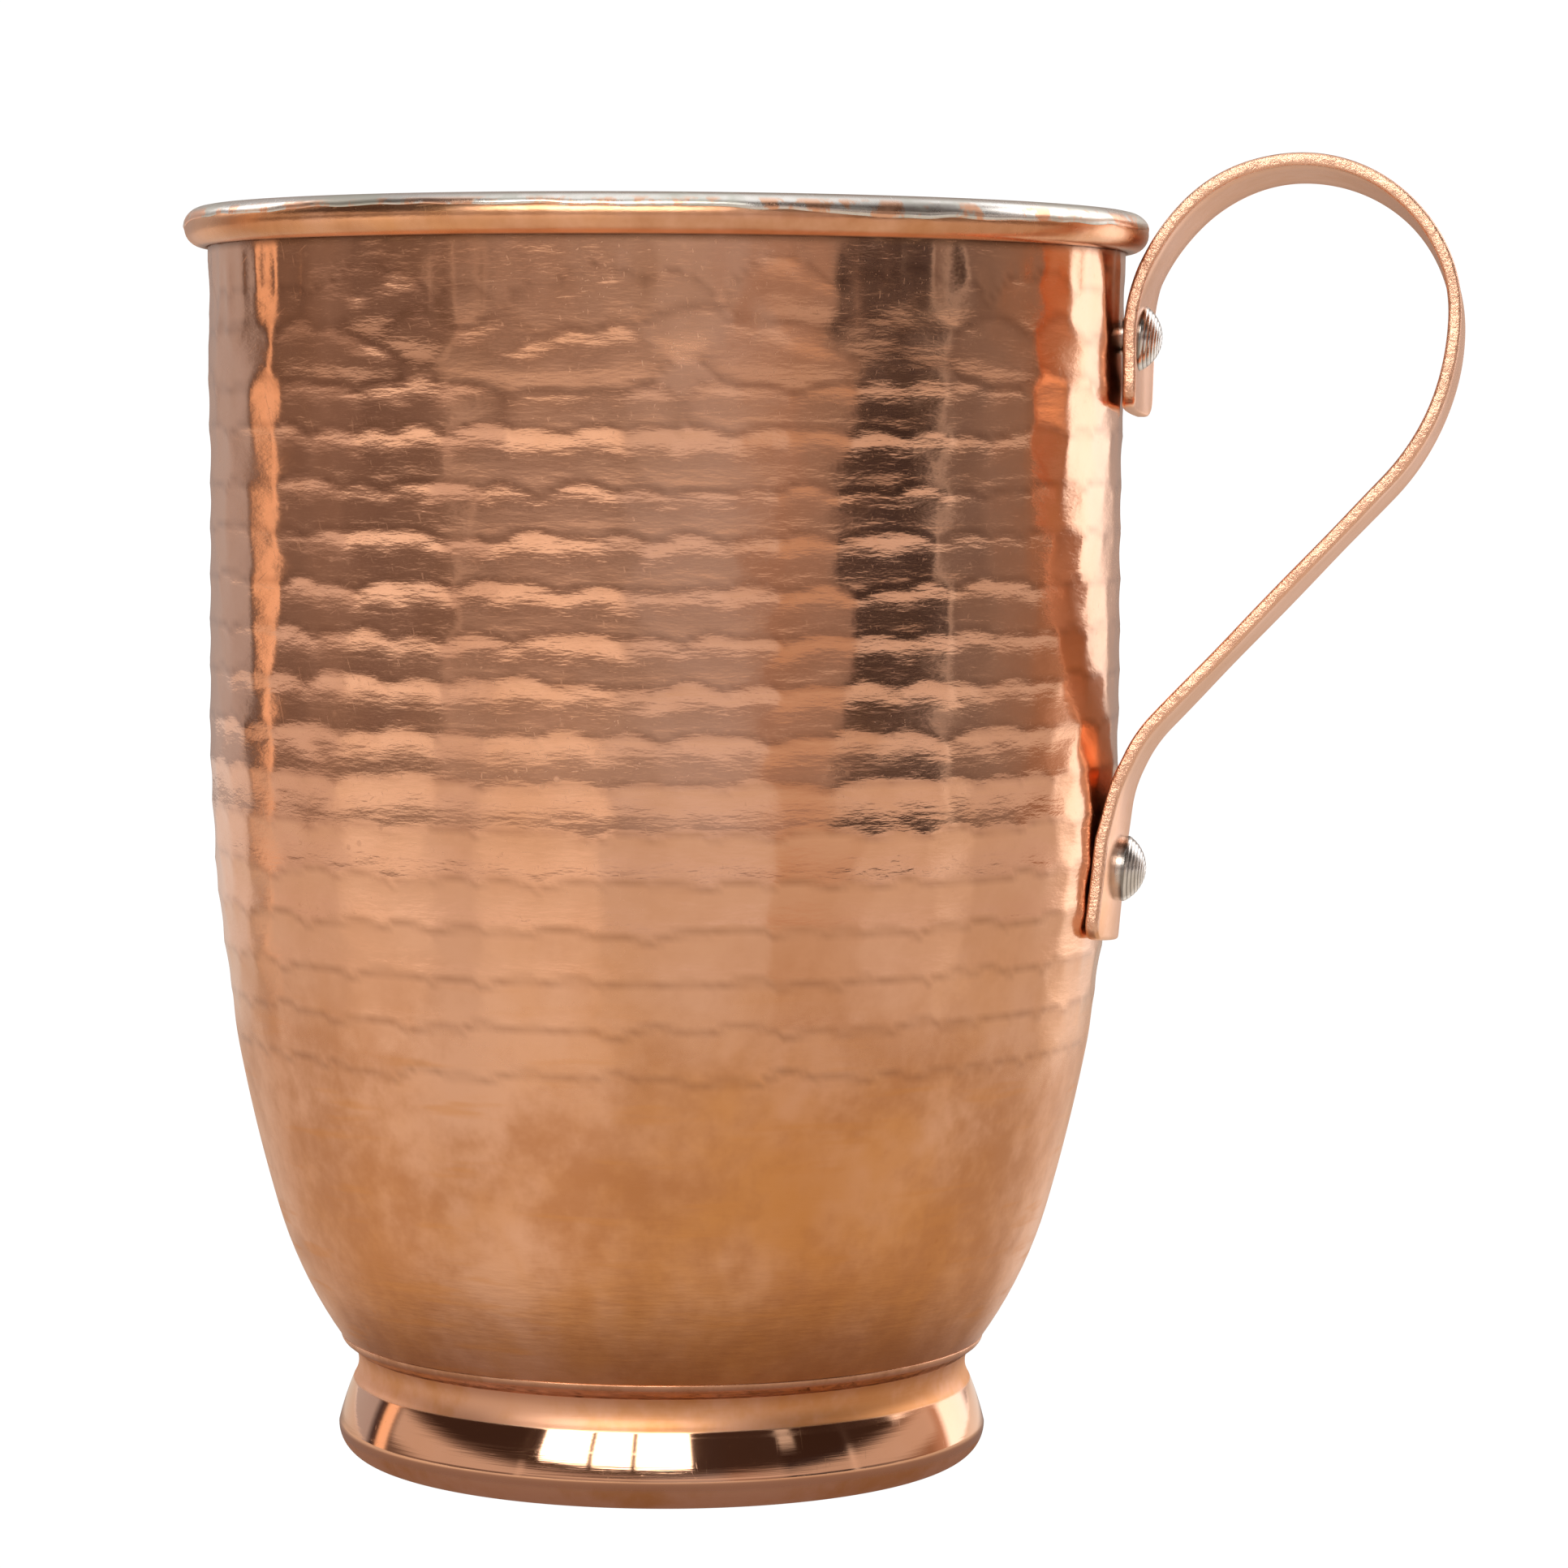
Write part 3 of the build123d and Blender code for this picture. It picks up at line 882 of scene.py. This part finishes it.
clouded_metal = make_clouds()
print(clouded_metal.name, "has", len(clouded_metal.nodes), "nodes")

# %% [markdown]
# Spinning, turning and buffing all leave fine lines that run round the mug. The noise is read at a place
# that changes quickly with height and radius and slowly round the axis, so it draws itself out into
# lines. It uses the two parts of the direction from the axis, not the angle, so it has no seam.

# %% Effect: lines round the axis
def make_round_lines():
    tree, given, out = new_group(
        "round_lines", {"Pitch": ("Float", 3000.0), "Break": ("Float", 8.0)},
        {"Lines": "Float", "Streaks": "Float"},
    )
    _, away, east, north, z = round_place(tree)
    run = plus(tree, z, times(tree, away, 0.7))
    parts = [times(tree, part, given[key])
             for part, key in ((east, "Break"), (north, "Break"), (run, "Pitch"))]
    at = add(tree, "CombineXYZ", None, i0=parts[0], i1=parts[1], i2=parts[2]).outputs[0]
    tree.links.new(noise(tree, at, 1.0, 3.0, 0.6), out["Lines"])
    tree.links.new(between(tree, noise(tree, at, 0.31, 2.0, 0.6), 0.56, 0.72), out["Streaks"])
    return tree


round_lines = make_round_lines()
print(round_lines.name, "has", len(round_lines.nodes), "nodes")

# %% [markdown]
# Scratches are short, thin and run in several directions. Each layer stretches a noise strongly along
# one slanting direction and keeps only its highest places. Specks are small spots where a drop dried.

# %% Effect: scratches and specks
def make_wear():
    tree, given, out = new_group(
        "scratches_and_specks", {"Scale": ("Float", 3500.0), "Speck scale": ("Float", 420.0)},
        {"Scratches": "Float", "Specks": "Float"},
    )
    place = add(tree, "TexCoord").outputs["Object"]
    total = 0.0
    for slant, cut_at in ((0.35, 0.71), (-0.9, 0.72), (1.9, 0.73)):
        turned = add(tree, "VectorRotate", {"rotation_type": "EULER_XYZ"}, Vector=place,
                     Rotation=(slant, slant * 0.7, 0.4)).outputs[0]
        drawn = noise(tree, stretched(tree, turned, (1.0, 1.0, 0.012)), given["Scale"], 1.0)
        total = calc(tree, "MAXIMUM", total, between(tree, drawn, cut_at, cut_at + 0.05))
    tree.links.new(total, out["Scratches"])
    spot = add(tree, "TexVoronoi", None, Vector=place, Scale=given["Speck scale"]).outputs["Distance"]
    where = between(tree, noise(tree, place, 60.0, 3.0), 0.55, 0.7)
    tree.links.new(times(tree, between(tree, spot, 0.16, 0.08), where), out["Specks"])
    return tree


wear = make_wear()
print(wear.name, "has", len(wear.nodes), "nodes")

# %% [markdown]
# ## Materials
#
# Copper is a metal, so its colour is the colour of its reflections. Every material here starts the same
# way, as a Principled shader that is fully metallic, and differs in its colour, its roughness and the
# fine unevenness that its bump gives.

# %% Start a metal
COPPER, BROWN = (0.91, 0.54, 0.36, 1), (0.78, 0.37, 0.13, 1)


def metal(name):
    made = bpy.data.materials.new(name)
    made.use_nodes = True
    made.node_tree.nodes.clear()
    tree = made.node_tree
    shader = add(tree, "BsdfPrincipled", None, Metallic=1.0)
    end = tree.nodes.new("ShaderNodeOutputMaterial")
    tree.links.new(shader.outputs[0], end.inputs[0])
    return made, tree, shader.inputs


def bump(tree, height, strength, distance, under=None):
    made = add(tree, "Bump", None, Strength=strength, Distance=distance, Height=height)
    if under:
        tree.links.new(under, made.inputs["Normal"])
    return made.outputs[0]


def finish_piece(piece, material):
    piece.data.materials.clear()
    piece.data.materials.append(material)
    print(piece.name, "has", material.name, "with", len(material.node_tree.nodes), "nodes")


# %% [markdown]
# The hammered wall was burnished by the blows and stays bright. Below the marks the bowl was only
# brushed, so it is softer and browner. The change is made by height, with a ragged border. The ridges
# between the rows and the crease under the roll are darkened with painted shade.

# %% Hammered copper
def hammered_copper():
    made, tree, shader = metal("hammered_copper")
    place, away, _, _, z = round_place(tree)
    wander = times(tree, calc(tree, "SUBTRACT", noise(tree, place, 45.0, 3.0), 0.5), 0.022)
    edge = plus(tree, z, wander)
    low = between(tree, edge, 0.050, 0.037)
    bead = between(tree, z, 0.1150, 0.1162)
    # the crease just under the rolled rim, where painted shade darkens the wall
    crease = times(tree, bead, between(tree, away, 0.0450, 0.0443))
    ridge = stored(tree, "ridge")
    lines = use(tree, round_lines, Pitch=1500.0, Break=9.0)
    worn = use(tree, wear, Scale=3500.0, Speck_scale=420.0)

    stain = plus(tree, between(tree, edge, 0.055, 0.035, 0.25, 1.0), times(tree, bead, 0.6))
    broad = use(tree, clouded_metal, Clean=COPPER, Stained=BROWN, Scale=16.0, Amount=stain)
    tone = use(tree, clouded_metal, Clean=broad["Color"], Stained=(0.58, 0.25, 0.10, 1), Scale=52.0,
               Amount=times(tree, stain, 0.75))
    brushed = times(tree, lines["Streaks"], low, 0.45)
    colour = blend(tree, brushed, tone["Color"], BROWN)
    # painted shade: a thin dark line along the ridges between the rows of marks
    colour = blend(tree, times(tree, ridge, 0.40), colour, (0.30, 0.13, 0.07, 1))
    # painted shade in the crease under the roll
    colour = blend(tree, times(tree, crease, 0.85), colour, (0.10, 0.045, 0.03, 1))
    tree.links.new(colour, shader["Base Color"])

    dulled = plus(tree, times(tree, worn["Scratches"], 0.11), times(tree, worn["Specks"], 0.15))
    haze = between(tree, noise(tree, place, 30.0, 4.0), 0.45, 0.70, 0.0, 0.07)
    rough = plus(tree, between(tree, low, 0.0, 1.0, 0.13, 0.30), haze, dulled, times(tree, brushed, 0.2),
                 times(tree, bead, 0.12))
    tree.links.new(rough, shader["Roughness"])

    drawn = times(tree, lines["Lines"], between(tree, low, 0.0, 1.0, 0.25, 1.0))
    pits = noise(tree, stretched(tree, place, (0.6, 0.6, 2.2)), 520.0, 3.0, 0.6)
    tree.links.new(bump(tree, pits, 1.0, 0.000035, bump(tree, drawn, 0.6, 0.00005)), shader["Normal"])
    return made


finish_piece(body, hammered_copper())

# %% [markdown]
# The foot's band was buffed last, so it is nearly a mirror with a few fine lines. The hollow above it and
# the turn under it were never reached by the wheel, and are duller.

# %% Polished copper
def polished_copper():
    made, tree, shader = metal("polished_copper")
    _, away, _, _, z = round_place(tree)
    below_ridge = between(tree, z, 0.0071, 0.0075, 1.0, 0.0)
    on_band = times(tree, below_ridge, between(tree, z, 0.0016, 0.0028))
    band = times(tree, on_band, between(tree, away, 0.0270, 0.0280))
    tone = use(tree, clouded_metal, Clean=COPPER, Stained=BROWN, Scale=60.0,
               Amount=between(tree, band, 0.0, 1.0, 0.85, 0.12))
    lines = use(tree, round_lines, Pitch=5200.0, Break=3.0)
    worn = use(tree, wear, Scale=3500.0, Speck_scale=500.0)
    rough = plus(tree, between(tree, band, 0.0, 1.0, 0.48, 0.06), times(tree, lines["Streaks"], 0.07),
                 times(tree, worn["Scratches"], 0.1))
    tree.links.new(tone["Color"], shader["Base Color"])
    tree.links.new(rough, shader["Roughness"])
    tree.links.new(bump(tree, lines["Lines"], 0.22, 0.00002), shader["Normal"])
    return made


finish_piece(foot, polished_copper())

# %% [markdown]
# The handle was cut, filed and only lightly polished. Its flat faces are satin with lines along the bar,
# and its edges keep the coarse grain of the cut, which sparkles. The edges are also given a paler copper,
# a painted highlight. The grain is found from the distance to the bar's middle, measured across the bar,
# which leans.

# %% Satin copper
def satin_copper():
    made, tree, shader = metal("satin_copper")
    place = add(tree, "TexCoord").outputs["Object"]
    x, y, z = add(tree, "SeparateXYZ", None, Vector=place).outputs
    leaning = times(tree, calc(tree, "SUBTRACT", z, LEAN_Z), sin(radians(LEAN)))
    side = calc(tree, "SUBTRACT", times(tree, y, cos(radians(LEAN))), leaning)
    edge = between(tree, calc(tree, "ABSOLUTE", side), STRAP_W / 2 - 0.5 * MM, STRAP_W / 2 - 0.1 * MM)
    tone = use(tree, clouded_metal, Clean=COPPER, Stained=BROWN, Scale=110.0, Amount=0.55)
    # painted highlight: the edges are given a paler copper for the bright light they catch
    tree.links.new(blend(tree, edge, tone["Color"], (0.95, 0.60, 0.43, 1)), shader["Base Color"])

    worn = use(tree, wear, Scale=3500.0, Speck_scale=600.0)
    rough = plus(tree, between(tree, edge, 0.0, 1.0, 0.28, 0.36), times(tree, worn["Scratches"], 0.12))
    tree.links.new(rough, shader["Roughness"])

    across = add(tree, "CombineXYZ", None, X=times(tree, x, 60.0), Y=times(tree, side, 2600.0),
                 Z=times(tree, z, 60.0)).outputs[0]
    filed = bump(tree, noise(tree, across, 1.0, 3.0), 0.35, 0.00004)
    grain = times(tree, noise(tree, place, 900.0, 4.0, 0.75), plus(tree, edge, 0.06))
    tree.links.new(bump(tree, grain, 0.9, 0.0002, filed), shader["Normal"])
    return made


finish_piece(strap, satin_copper())

# %% [markdown]
# Tin is a soft greyish white. Wiped on hot, it lies in thick and thin patches, and where it is thin at the
# edge the copper shows through it. Solder, the rivets and the wire differ only in colour, dullness and
# grain, so one function makes all three, and darkens the rings that were turned into the rivet heads.

# %% Tin, solder, rivets and wire
def tin_metal():
    made, tree, shader = metal("tin")
    place, away, _, _, _ = round_place(tree)
    tone = use(tree, clouded_metal, Clean=(0.88, 0.88, 0.86, 1), Stained=(0.60, 0.64, 0.57, 1),
               Scale=90.0, Amount=0.8)
    lines = use(tree, round_lines, Pitch=1800.0, Break=6.0)
    worn = use(tree, wear, Scale=3500.0, Speck_scale=500.0)
    patches = between(tree, noise(tree, place, 260.0, 4.0, 0.65), 0.47, 0.56)
    copper_through = times(tree, between(tree, away, 0.0453, 0.0459), patches)
    tree.links.new(blend(tree, copper_through, tone["Color"], COPPER), shader["Base Color"])
    rough = plus(tree, between(tree, tone["Mask"], 0.0, 1.0, 0.26, 0.42),
                 times(tree, worn["Scratches"], 0.15))
    tree.links.new(rough, shader["Roughness"])
    wiped = bump(tree, lines["Lines"], 0.2, 0.00005)
    tree.links.new(bump(tree, noise(tree, place, 320.0, 3.0), 0.25, 0.0001, wiped), shader["Normal"])
    return made


def grey_metal(name, clean, stained, rough_low, rough_high, grain_scale):
    made, tree, shader = metal(name)
    place = add(tree, "TexCoord").outputs["Object"]
    tone = use(tree, clouded_metal, Clean=clean, Stained=stained, Scale=200.0, Amount=0.8)
    worn = use(tree, wear, Scale=3500.0, Speck_scale=700.0)
    groove = between(tree, stored(tree, "groove"), 0.45, 1.0, 0.0, 0.75)
    tree.links.new(blend(tree, groove, tone["Color"], (0.16, 0.15, 0.14, 1)), shader["Base Color"])
    patches = between(tree, tone["Mask"], 0.0, 1.0, rough_low, rough_high)
    tree.links.new(plus(tree, patches, times(tree, worn["Scratches"], 0.1)), shader["Roughness"])
    tree.links.new(bump(tree, noise(tree, place, grain_scale, 3.0, 0.65), 0.35, 0.00004), shader["Normal"])
    return made


finish_piece(tin, tin_metal())
finish_piece(solder, grey_metal("solder", (0.84, 0.49, 0.32, 1), (0.60, 0.31, 0.17, 1), 0.34, 0.48, 900.0))
rivet_metal = grey_metal("rivet_metal", (0.86, 0.85, 0.83, 1), (0.58, 0.57, 0.55, 1), 0.22, 0.34, 1600.0)
for rivet in rivets:
    finish_piece(rivet, rivet_metal)
wire_steel = grey_metal("wire_steel", (0.42, 0.41, 0.40, 1), (0.20, 0.16, 0.13, 1), 0.35, 0.6, 700.0)
finish_piece(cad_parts["rim_wire"], wire_steel)

# %% [markdown]
# ## Camera
#
# The camera stands in front, a little to the handle's side and a little above the rim, with a long lens.

# %% Camera
LOOK_TURN, PITCH, ROLL = 9.0, 3.94, 0.36
LENS, SENSOR = 117.3, 36.0
STAND_BACK, STAND_RIGHT, STAND_HIGH = 0.4919, 0.01148, 0.09868
towards = Vector((sin(radians(LOOK_TURN)), -cos(radians(LOOK_TURN)), 0))
rightward = Vector((cos(radians(LOOK_TURN)), sin(radians(LOOK_TURN)), 0))

camera = bpy.data.objects.new("camera", bpy.data.cameras.new("camera"))
bpy.context.scene.collection.objects.link(camera)
camera.data.lens, camera.data.sensor_width, camera.data.clip_start = LENS, SENSOR, 0.01
camera.matrix_world = (
    Matrix.Translation(towards * STAND_BACK + rightward * STAND_RIGHT + Vector((0, 0, STAND_HIGH)))
    @ Matrix.Rotation(radians(LOOK_TURN), 4, "Z") @ Matrix.Rotation(radians(90 - PITCH), 4, "X")
    @ Matrix.Rotation(radians(ROLL), 4, "Z")
)
bpy.context.scene.camera = camera
print("camera at", [round(v, 3) for v in camera.matrix_world.translation])

# %% [markdown]
# ## Floor, room and light
#
# Polished copper shows what is round it, so the room matters as much as the metal. The floor is a pale
# disc, and the room is the world's shader: soft upright bands, darker and lighter, a window high in
# front and two lamps. The camera itself sees plain white behind the mug.

# %% Floor
FLOOR_R = 0.9
bpy.ops.object.select_all(action="DESELECT")
bpy.ops.mesh.primitive_circle_add(vertices=96, radius=FLOOR_R, fill_type="NGON", location=(0, 0, -0.0002))
floor = bpy.context.object
floor.name = "floor"
bpy.ops.object.transform_apply(location=True, rotation=False, scale=False)
floor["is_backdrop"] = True
print("floor of radius", FLOOR_R, "m")

# %% [markdown]
# The bands are placed by the direction a reflected ray takes, measured from the camera's side: minus is to
# the left. A colour ramp holds them, one stop at each border, and it can hold 32 at the most. The floor
# has its own bands, where light from the room falls on it in pools.

# %% Room bands
BANDS = [
    (-180, (0.30, 0.22, 0.18)), (-150, (0.50, 0.45, 0.43)), (-128, (0.46, 0.42, 0.43)),
    (-124, (0.07, 0.05, 0.05)), (-121, (0.10, 0.06, 0.05)), (-119, (1.15, 0.72, 0.46)),
    (-114, (1.10, 0.72, 0.50)), (-112, (0.17, 0.12, 0.10)), (-90, (0.25, 0.18, 0.15)),
    (-77, (0.17, 0.12, 0.10)), (-52, (0.20, 0.145, 0.12)), (-50, (0.62, 0.50, 0.43)),
    (-48, (0.19, 0.14, 0.12)), (-28, (0.26, 0.195, 0.17)), (-8, (0.24, 0.19, 0.17)),
    (0, (0.36, 0.32, 0.32)), (20, (0.38, 0.33, 0.33)), (27, (0.36, 0.24, 0.19)), (44, (0.30, 0.23, 0.20)),
    (47.5, (0.04, 0.030, 0.034)), (71.5, (0.045, 0.034, 0.036)), (72.7, (0.80, 0.72, 0.68)),
    (75.5, (0.17, 0.135, 0.125)), (92, (0.26, 0.20, 0.175)), (111, (0.34, 0.19, 0.12)),
    (121, (0.60, 0.37, 0.27)), (125, (1.7, 1.65, 1.65)), (144, (1.5, 1.45, 1.45)), (150, (0.52, 0.44, 0.40)),
    (180, (0.30, 0.22, 0.18)),
]
FLOOR_BANDS = [
    (-180, (0.44, 0.34, 0.28)), (-150, (0.80, 0.70, 0.64)), (-126, (0.78, 0.68, 0.63)),
    (-121, (0.30, 0.20, 0.15)), (-117, (0.95, 0.64, 0.44)), (-110, (0.72, 0.58, 0.51)),
    (-84, (0.78, 0.64, 0.57)), (-79, (1.08, 0.92, 0.80)), (-58, (1.08, 0.92, 0.80)),
    (-53, (0.78, 0.64, 0.57)), (-44, (0.76, 0.62, 0.55)), (-39, (1.06, 0.90, 0.78)),
    (-14, (1.06, 0.90, 0.78)), (-8, (0.70, 0.59, 0.54)), (0, (0.78, 0.68, 0.64)), (24, (0.76, 0.65, 0.60)),
    (28, (0.60, 0.40, 0.28)), (44, (0.60, 0.43, 0.33)), (50, (0.76, 0.64, 0.58)), (70, (0.76, 0.64, 0.58)),
    (73, (0.95, 0.86, 0.80)), (78, (0.66, 0.55, 0.49)), (112, (0.66, 0.53, 0.46)), (124, (1.7, 1.6, 1.55)),
    (144, (1.4, 1.3, 1.25)), (152, (0.60, 0.49, 0.42)), (180, (0.44, 0.34, 0.28)),
]
print(len(BANDS), "bands on the walls and", len(FLOOR_BANDS), "on the floor")


# %% [markdown]
# These helpers read the bands. The direction of a place comes from its dot products with the two level
# directions that the camera was set up with. They are fixed numbers here, so the room stays where it is
# when the mug is seen from another side.

# %% Read the bands
def turn_of(tree, way):
    """The direction of a place or a ray round the mug, in degrees, minus to the left."""
    ahead, right = (add(tree, "VectorMath", {"operation": "DOT_PRODUCT"}, i0=way, i1=side).outputs["Value"]
                    for side in (towards, rightward))
    return calc(tree, "DEGREES", calc(tree, "ARCTAN2", right, ahead))


def band_ramp(tree, turn, bands):
    share = add(tree, "MapRange", None, i0=turn, i1=-180.0, i2=180.0).outputs[0]
    ramp = add(tree, "ValToRGB", None, Fac=share)
    stops = ramp.color_ramp.elements
    for at, colour in bands[1:-1]:
        stops.new((at + 180) / 360).color = (*colour, 1)
    stops[0].color, stops[-1].color = (*bands[0][1], 1), (*bands[-1][1], 1)
    return ramp.outputs[0]


def inside(tree, value, low, high, soft):
    """1 where a value lies in a span, with soft borders."""
    past_low = between(tree, value, low - soft, low + soft)
    return times(tree, past_low, between(tree, value, high + soft, high - soft))


def plain_to_camera(tree, kind, lit, end_kind):
    """End a stage shader: a ray from the mug meets its colour, and the camera's own rays meet plain white."""
    shown = add(tree, kind, None, Color=lit, Strength=1.0)
    plain = add(tree, kind, None, Color=(1, 1, 1, 1), Strength=1.05)
    seen = add(tree, "LightPath").outputs["Is Camera Ray"]
    pick = add(tree, "MixShader", None, i0=seen, i1=shown.outputs[0], i2=plain.outputs[0])
    tree.links.new(pick.outputs[0], tree.nodes.new(end_kind).inputs[0])


# %% [markdown]
# The floor shines with its bands' colours towards the mug. Near the mug they blend into one warmer
# tone, because light comes there from all sides, and close under the foot a painted shadow makes it dark.

# %% Floor finish
def floor_material():
    made = bpy.data.materials.new("floor_white")
    made.use_nodes = True
    tree = made.node_tree
    tree.nodes.clear()
    place = add(tree, "TexCoord").outputs["Object"]
    away = add(tree, "VectorMath", {"operation": "LENGTH"}, i0=place).outputs["Value"]
    pools = band_ramp(tree, turn_of(tree, place), FLOOR_BANDS)
    near = blend(tree, 0.72, pools, (0.64, 0.53, 0.42, 1))
    lit = blend(tree, between(tree, away, 0.18, 0.55), near, pools)
    # painted shadow of the mug on the floor, close under the foot
    lit = blend(tree, between(tree, away, 0.062, 0.033), lit, (0.27, 0.19, 0.16, 1))
    plain_to_camera(tree, "Emission", lit, "ShaderNodeOutputMaterial")
    return made


floor.data.materials.append(floor_material())

# %% [markdown]
# Each zone of the room is a span of height over the horizon, in degrees, that blends its own colour over
# the bands: the skirting by the floor, a faint haze, a pale shelf of light that the tilted faces of the
# hammer marks catch, and deep shade above it. The window has three panes, because its frame keeps the
# reflection from being one blank patch. Straight above is a broad soft glow.

# %% Room shader
PANES = ((-44, -26), (-24, -10), (-8, 12))
LAMPS = ((98, 144, 3.0), (-138, -118, 2.0))


def make_room():
    world = bpy.data.worlds.new("room")
    bpy.context.scene.world = world
    world.use_nodes = True
    tree = world.node_tree
    tree.nodes.clear()
    way = add(tree, "TexCoord").outputs["Generated"]
    up = add(tree, "SeparateXYZ", None, Vector=way).outputs[2]
    turn = turn_of(tree, way)
    rise = calc(tree, "DEGREES", calc(tree, "ARCSINE", up))
    in_front = inside(tree, turn, -111, 118, 3.0)
    zones = [
        (inside(tree, rise, 6.5, 15.0, 2.0), in_front, 0.75, (0.74, 0.60, 0.52, 1)),
        (between(tree, rise, -0.5, -4.5), inside(tree, turn, -111, 44, 2.0), 0.5, (0.50, 0.38, 0.33, 1)),
        (inside(tree, rise, 0.4, 6.0, 1.0), inside(tree, turn, -52, 24, 5.0), 0.32, (0.66, 0.55, 0.50, 1)),
        (between(tree, rise, 15.0, 19.0), in_front, 0.96, (0.040, 0.022, 0.016, 1)),
        (between(tree, rise, 46.0, 64.0), 1.0, 1.0, (0.62, 0.56, 0.53, 1)),
        (between(tree, rise, 55.0, 75.0), 1.0, 1.0, (1.1, 1.04, 1.0, 1)),
    ]
    level = band_ramp(tree, turn, BANDS)
    for height, width, strength, colour in zones:
        level = blend(tree, times(tree, height, width, strength), level, colour)

    small = times(tree, inside(tree, turn, 46, 52, 1.0), inside(tree, rise, 24, 38, 3.0), 0.10)
    panes = [times(tree, inside(tree, turn, *span, 0.5), inside(tree, rise, 20, 40, 0.8)) for span in PANES]
    lamps = [times(tree, inside(tree, turn, *span), inside(tree, rise, 18, 42, 2.0)) for span in LAMPS]
    lit = blend(tree, plus(tree, *panes, small), level, (5.5, 5.1, 4.7, 1))
    lit = blend(tree, plus(tree, *lamps), lit, (2.6, 2.4, 2.3, 1))
    plain_to_camera(tree, "Background", lit, "ShaderNodeOutputWorld")
    print("room with", len(tree.nodes), "nodes")


make_room()
bpy.context.scene.view_settings.view_transform = "Standard"

# %% [markdown]
# ## Sizes at the end
#
# The sizes of the engineering model and of the finished one are printed side by side, so that they can be
# compared.

# %% Print the sizes and finish
visual_box = [list(corner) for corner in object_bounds()]
for key, box in (("CAD", cad_box), ("visual", visual_box)):
    print(key, [[round(v / MM, 2) for v in corner] for corner in box])
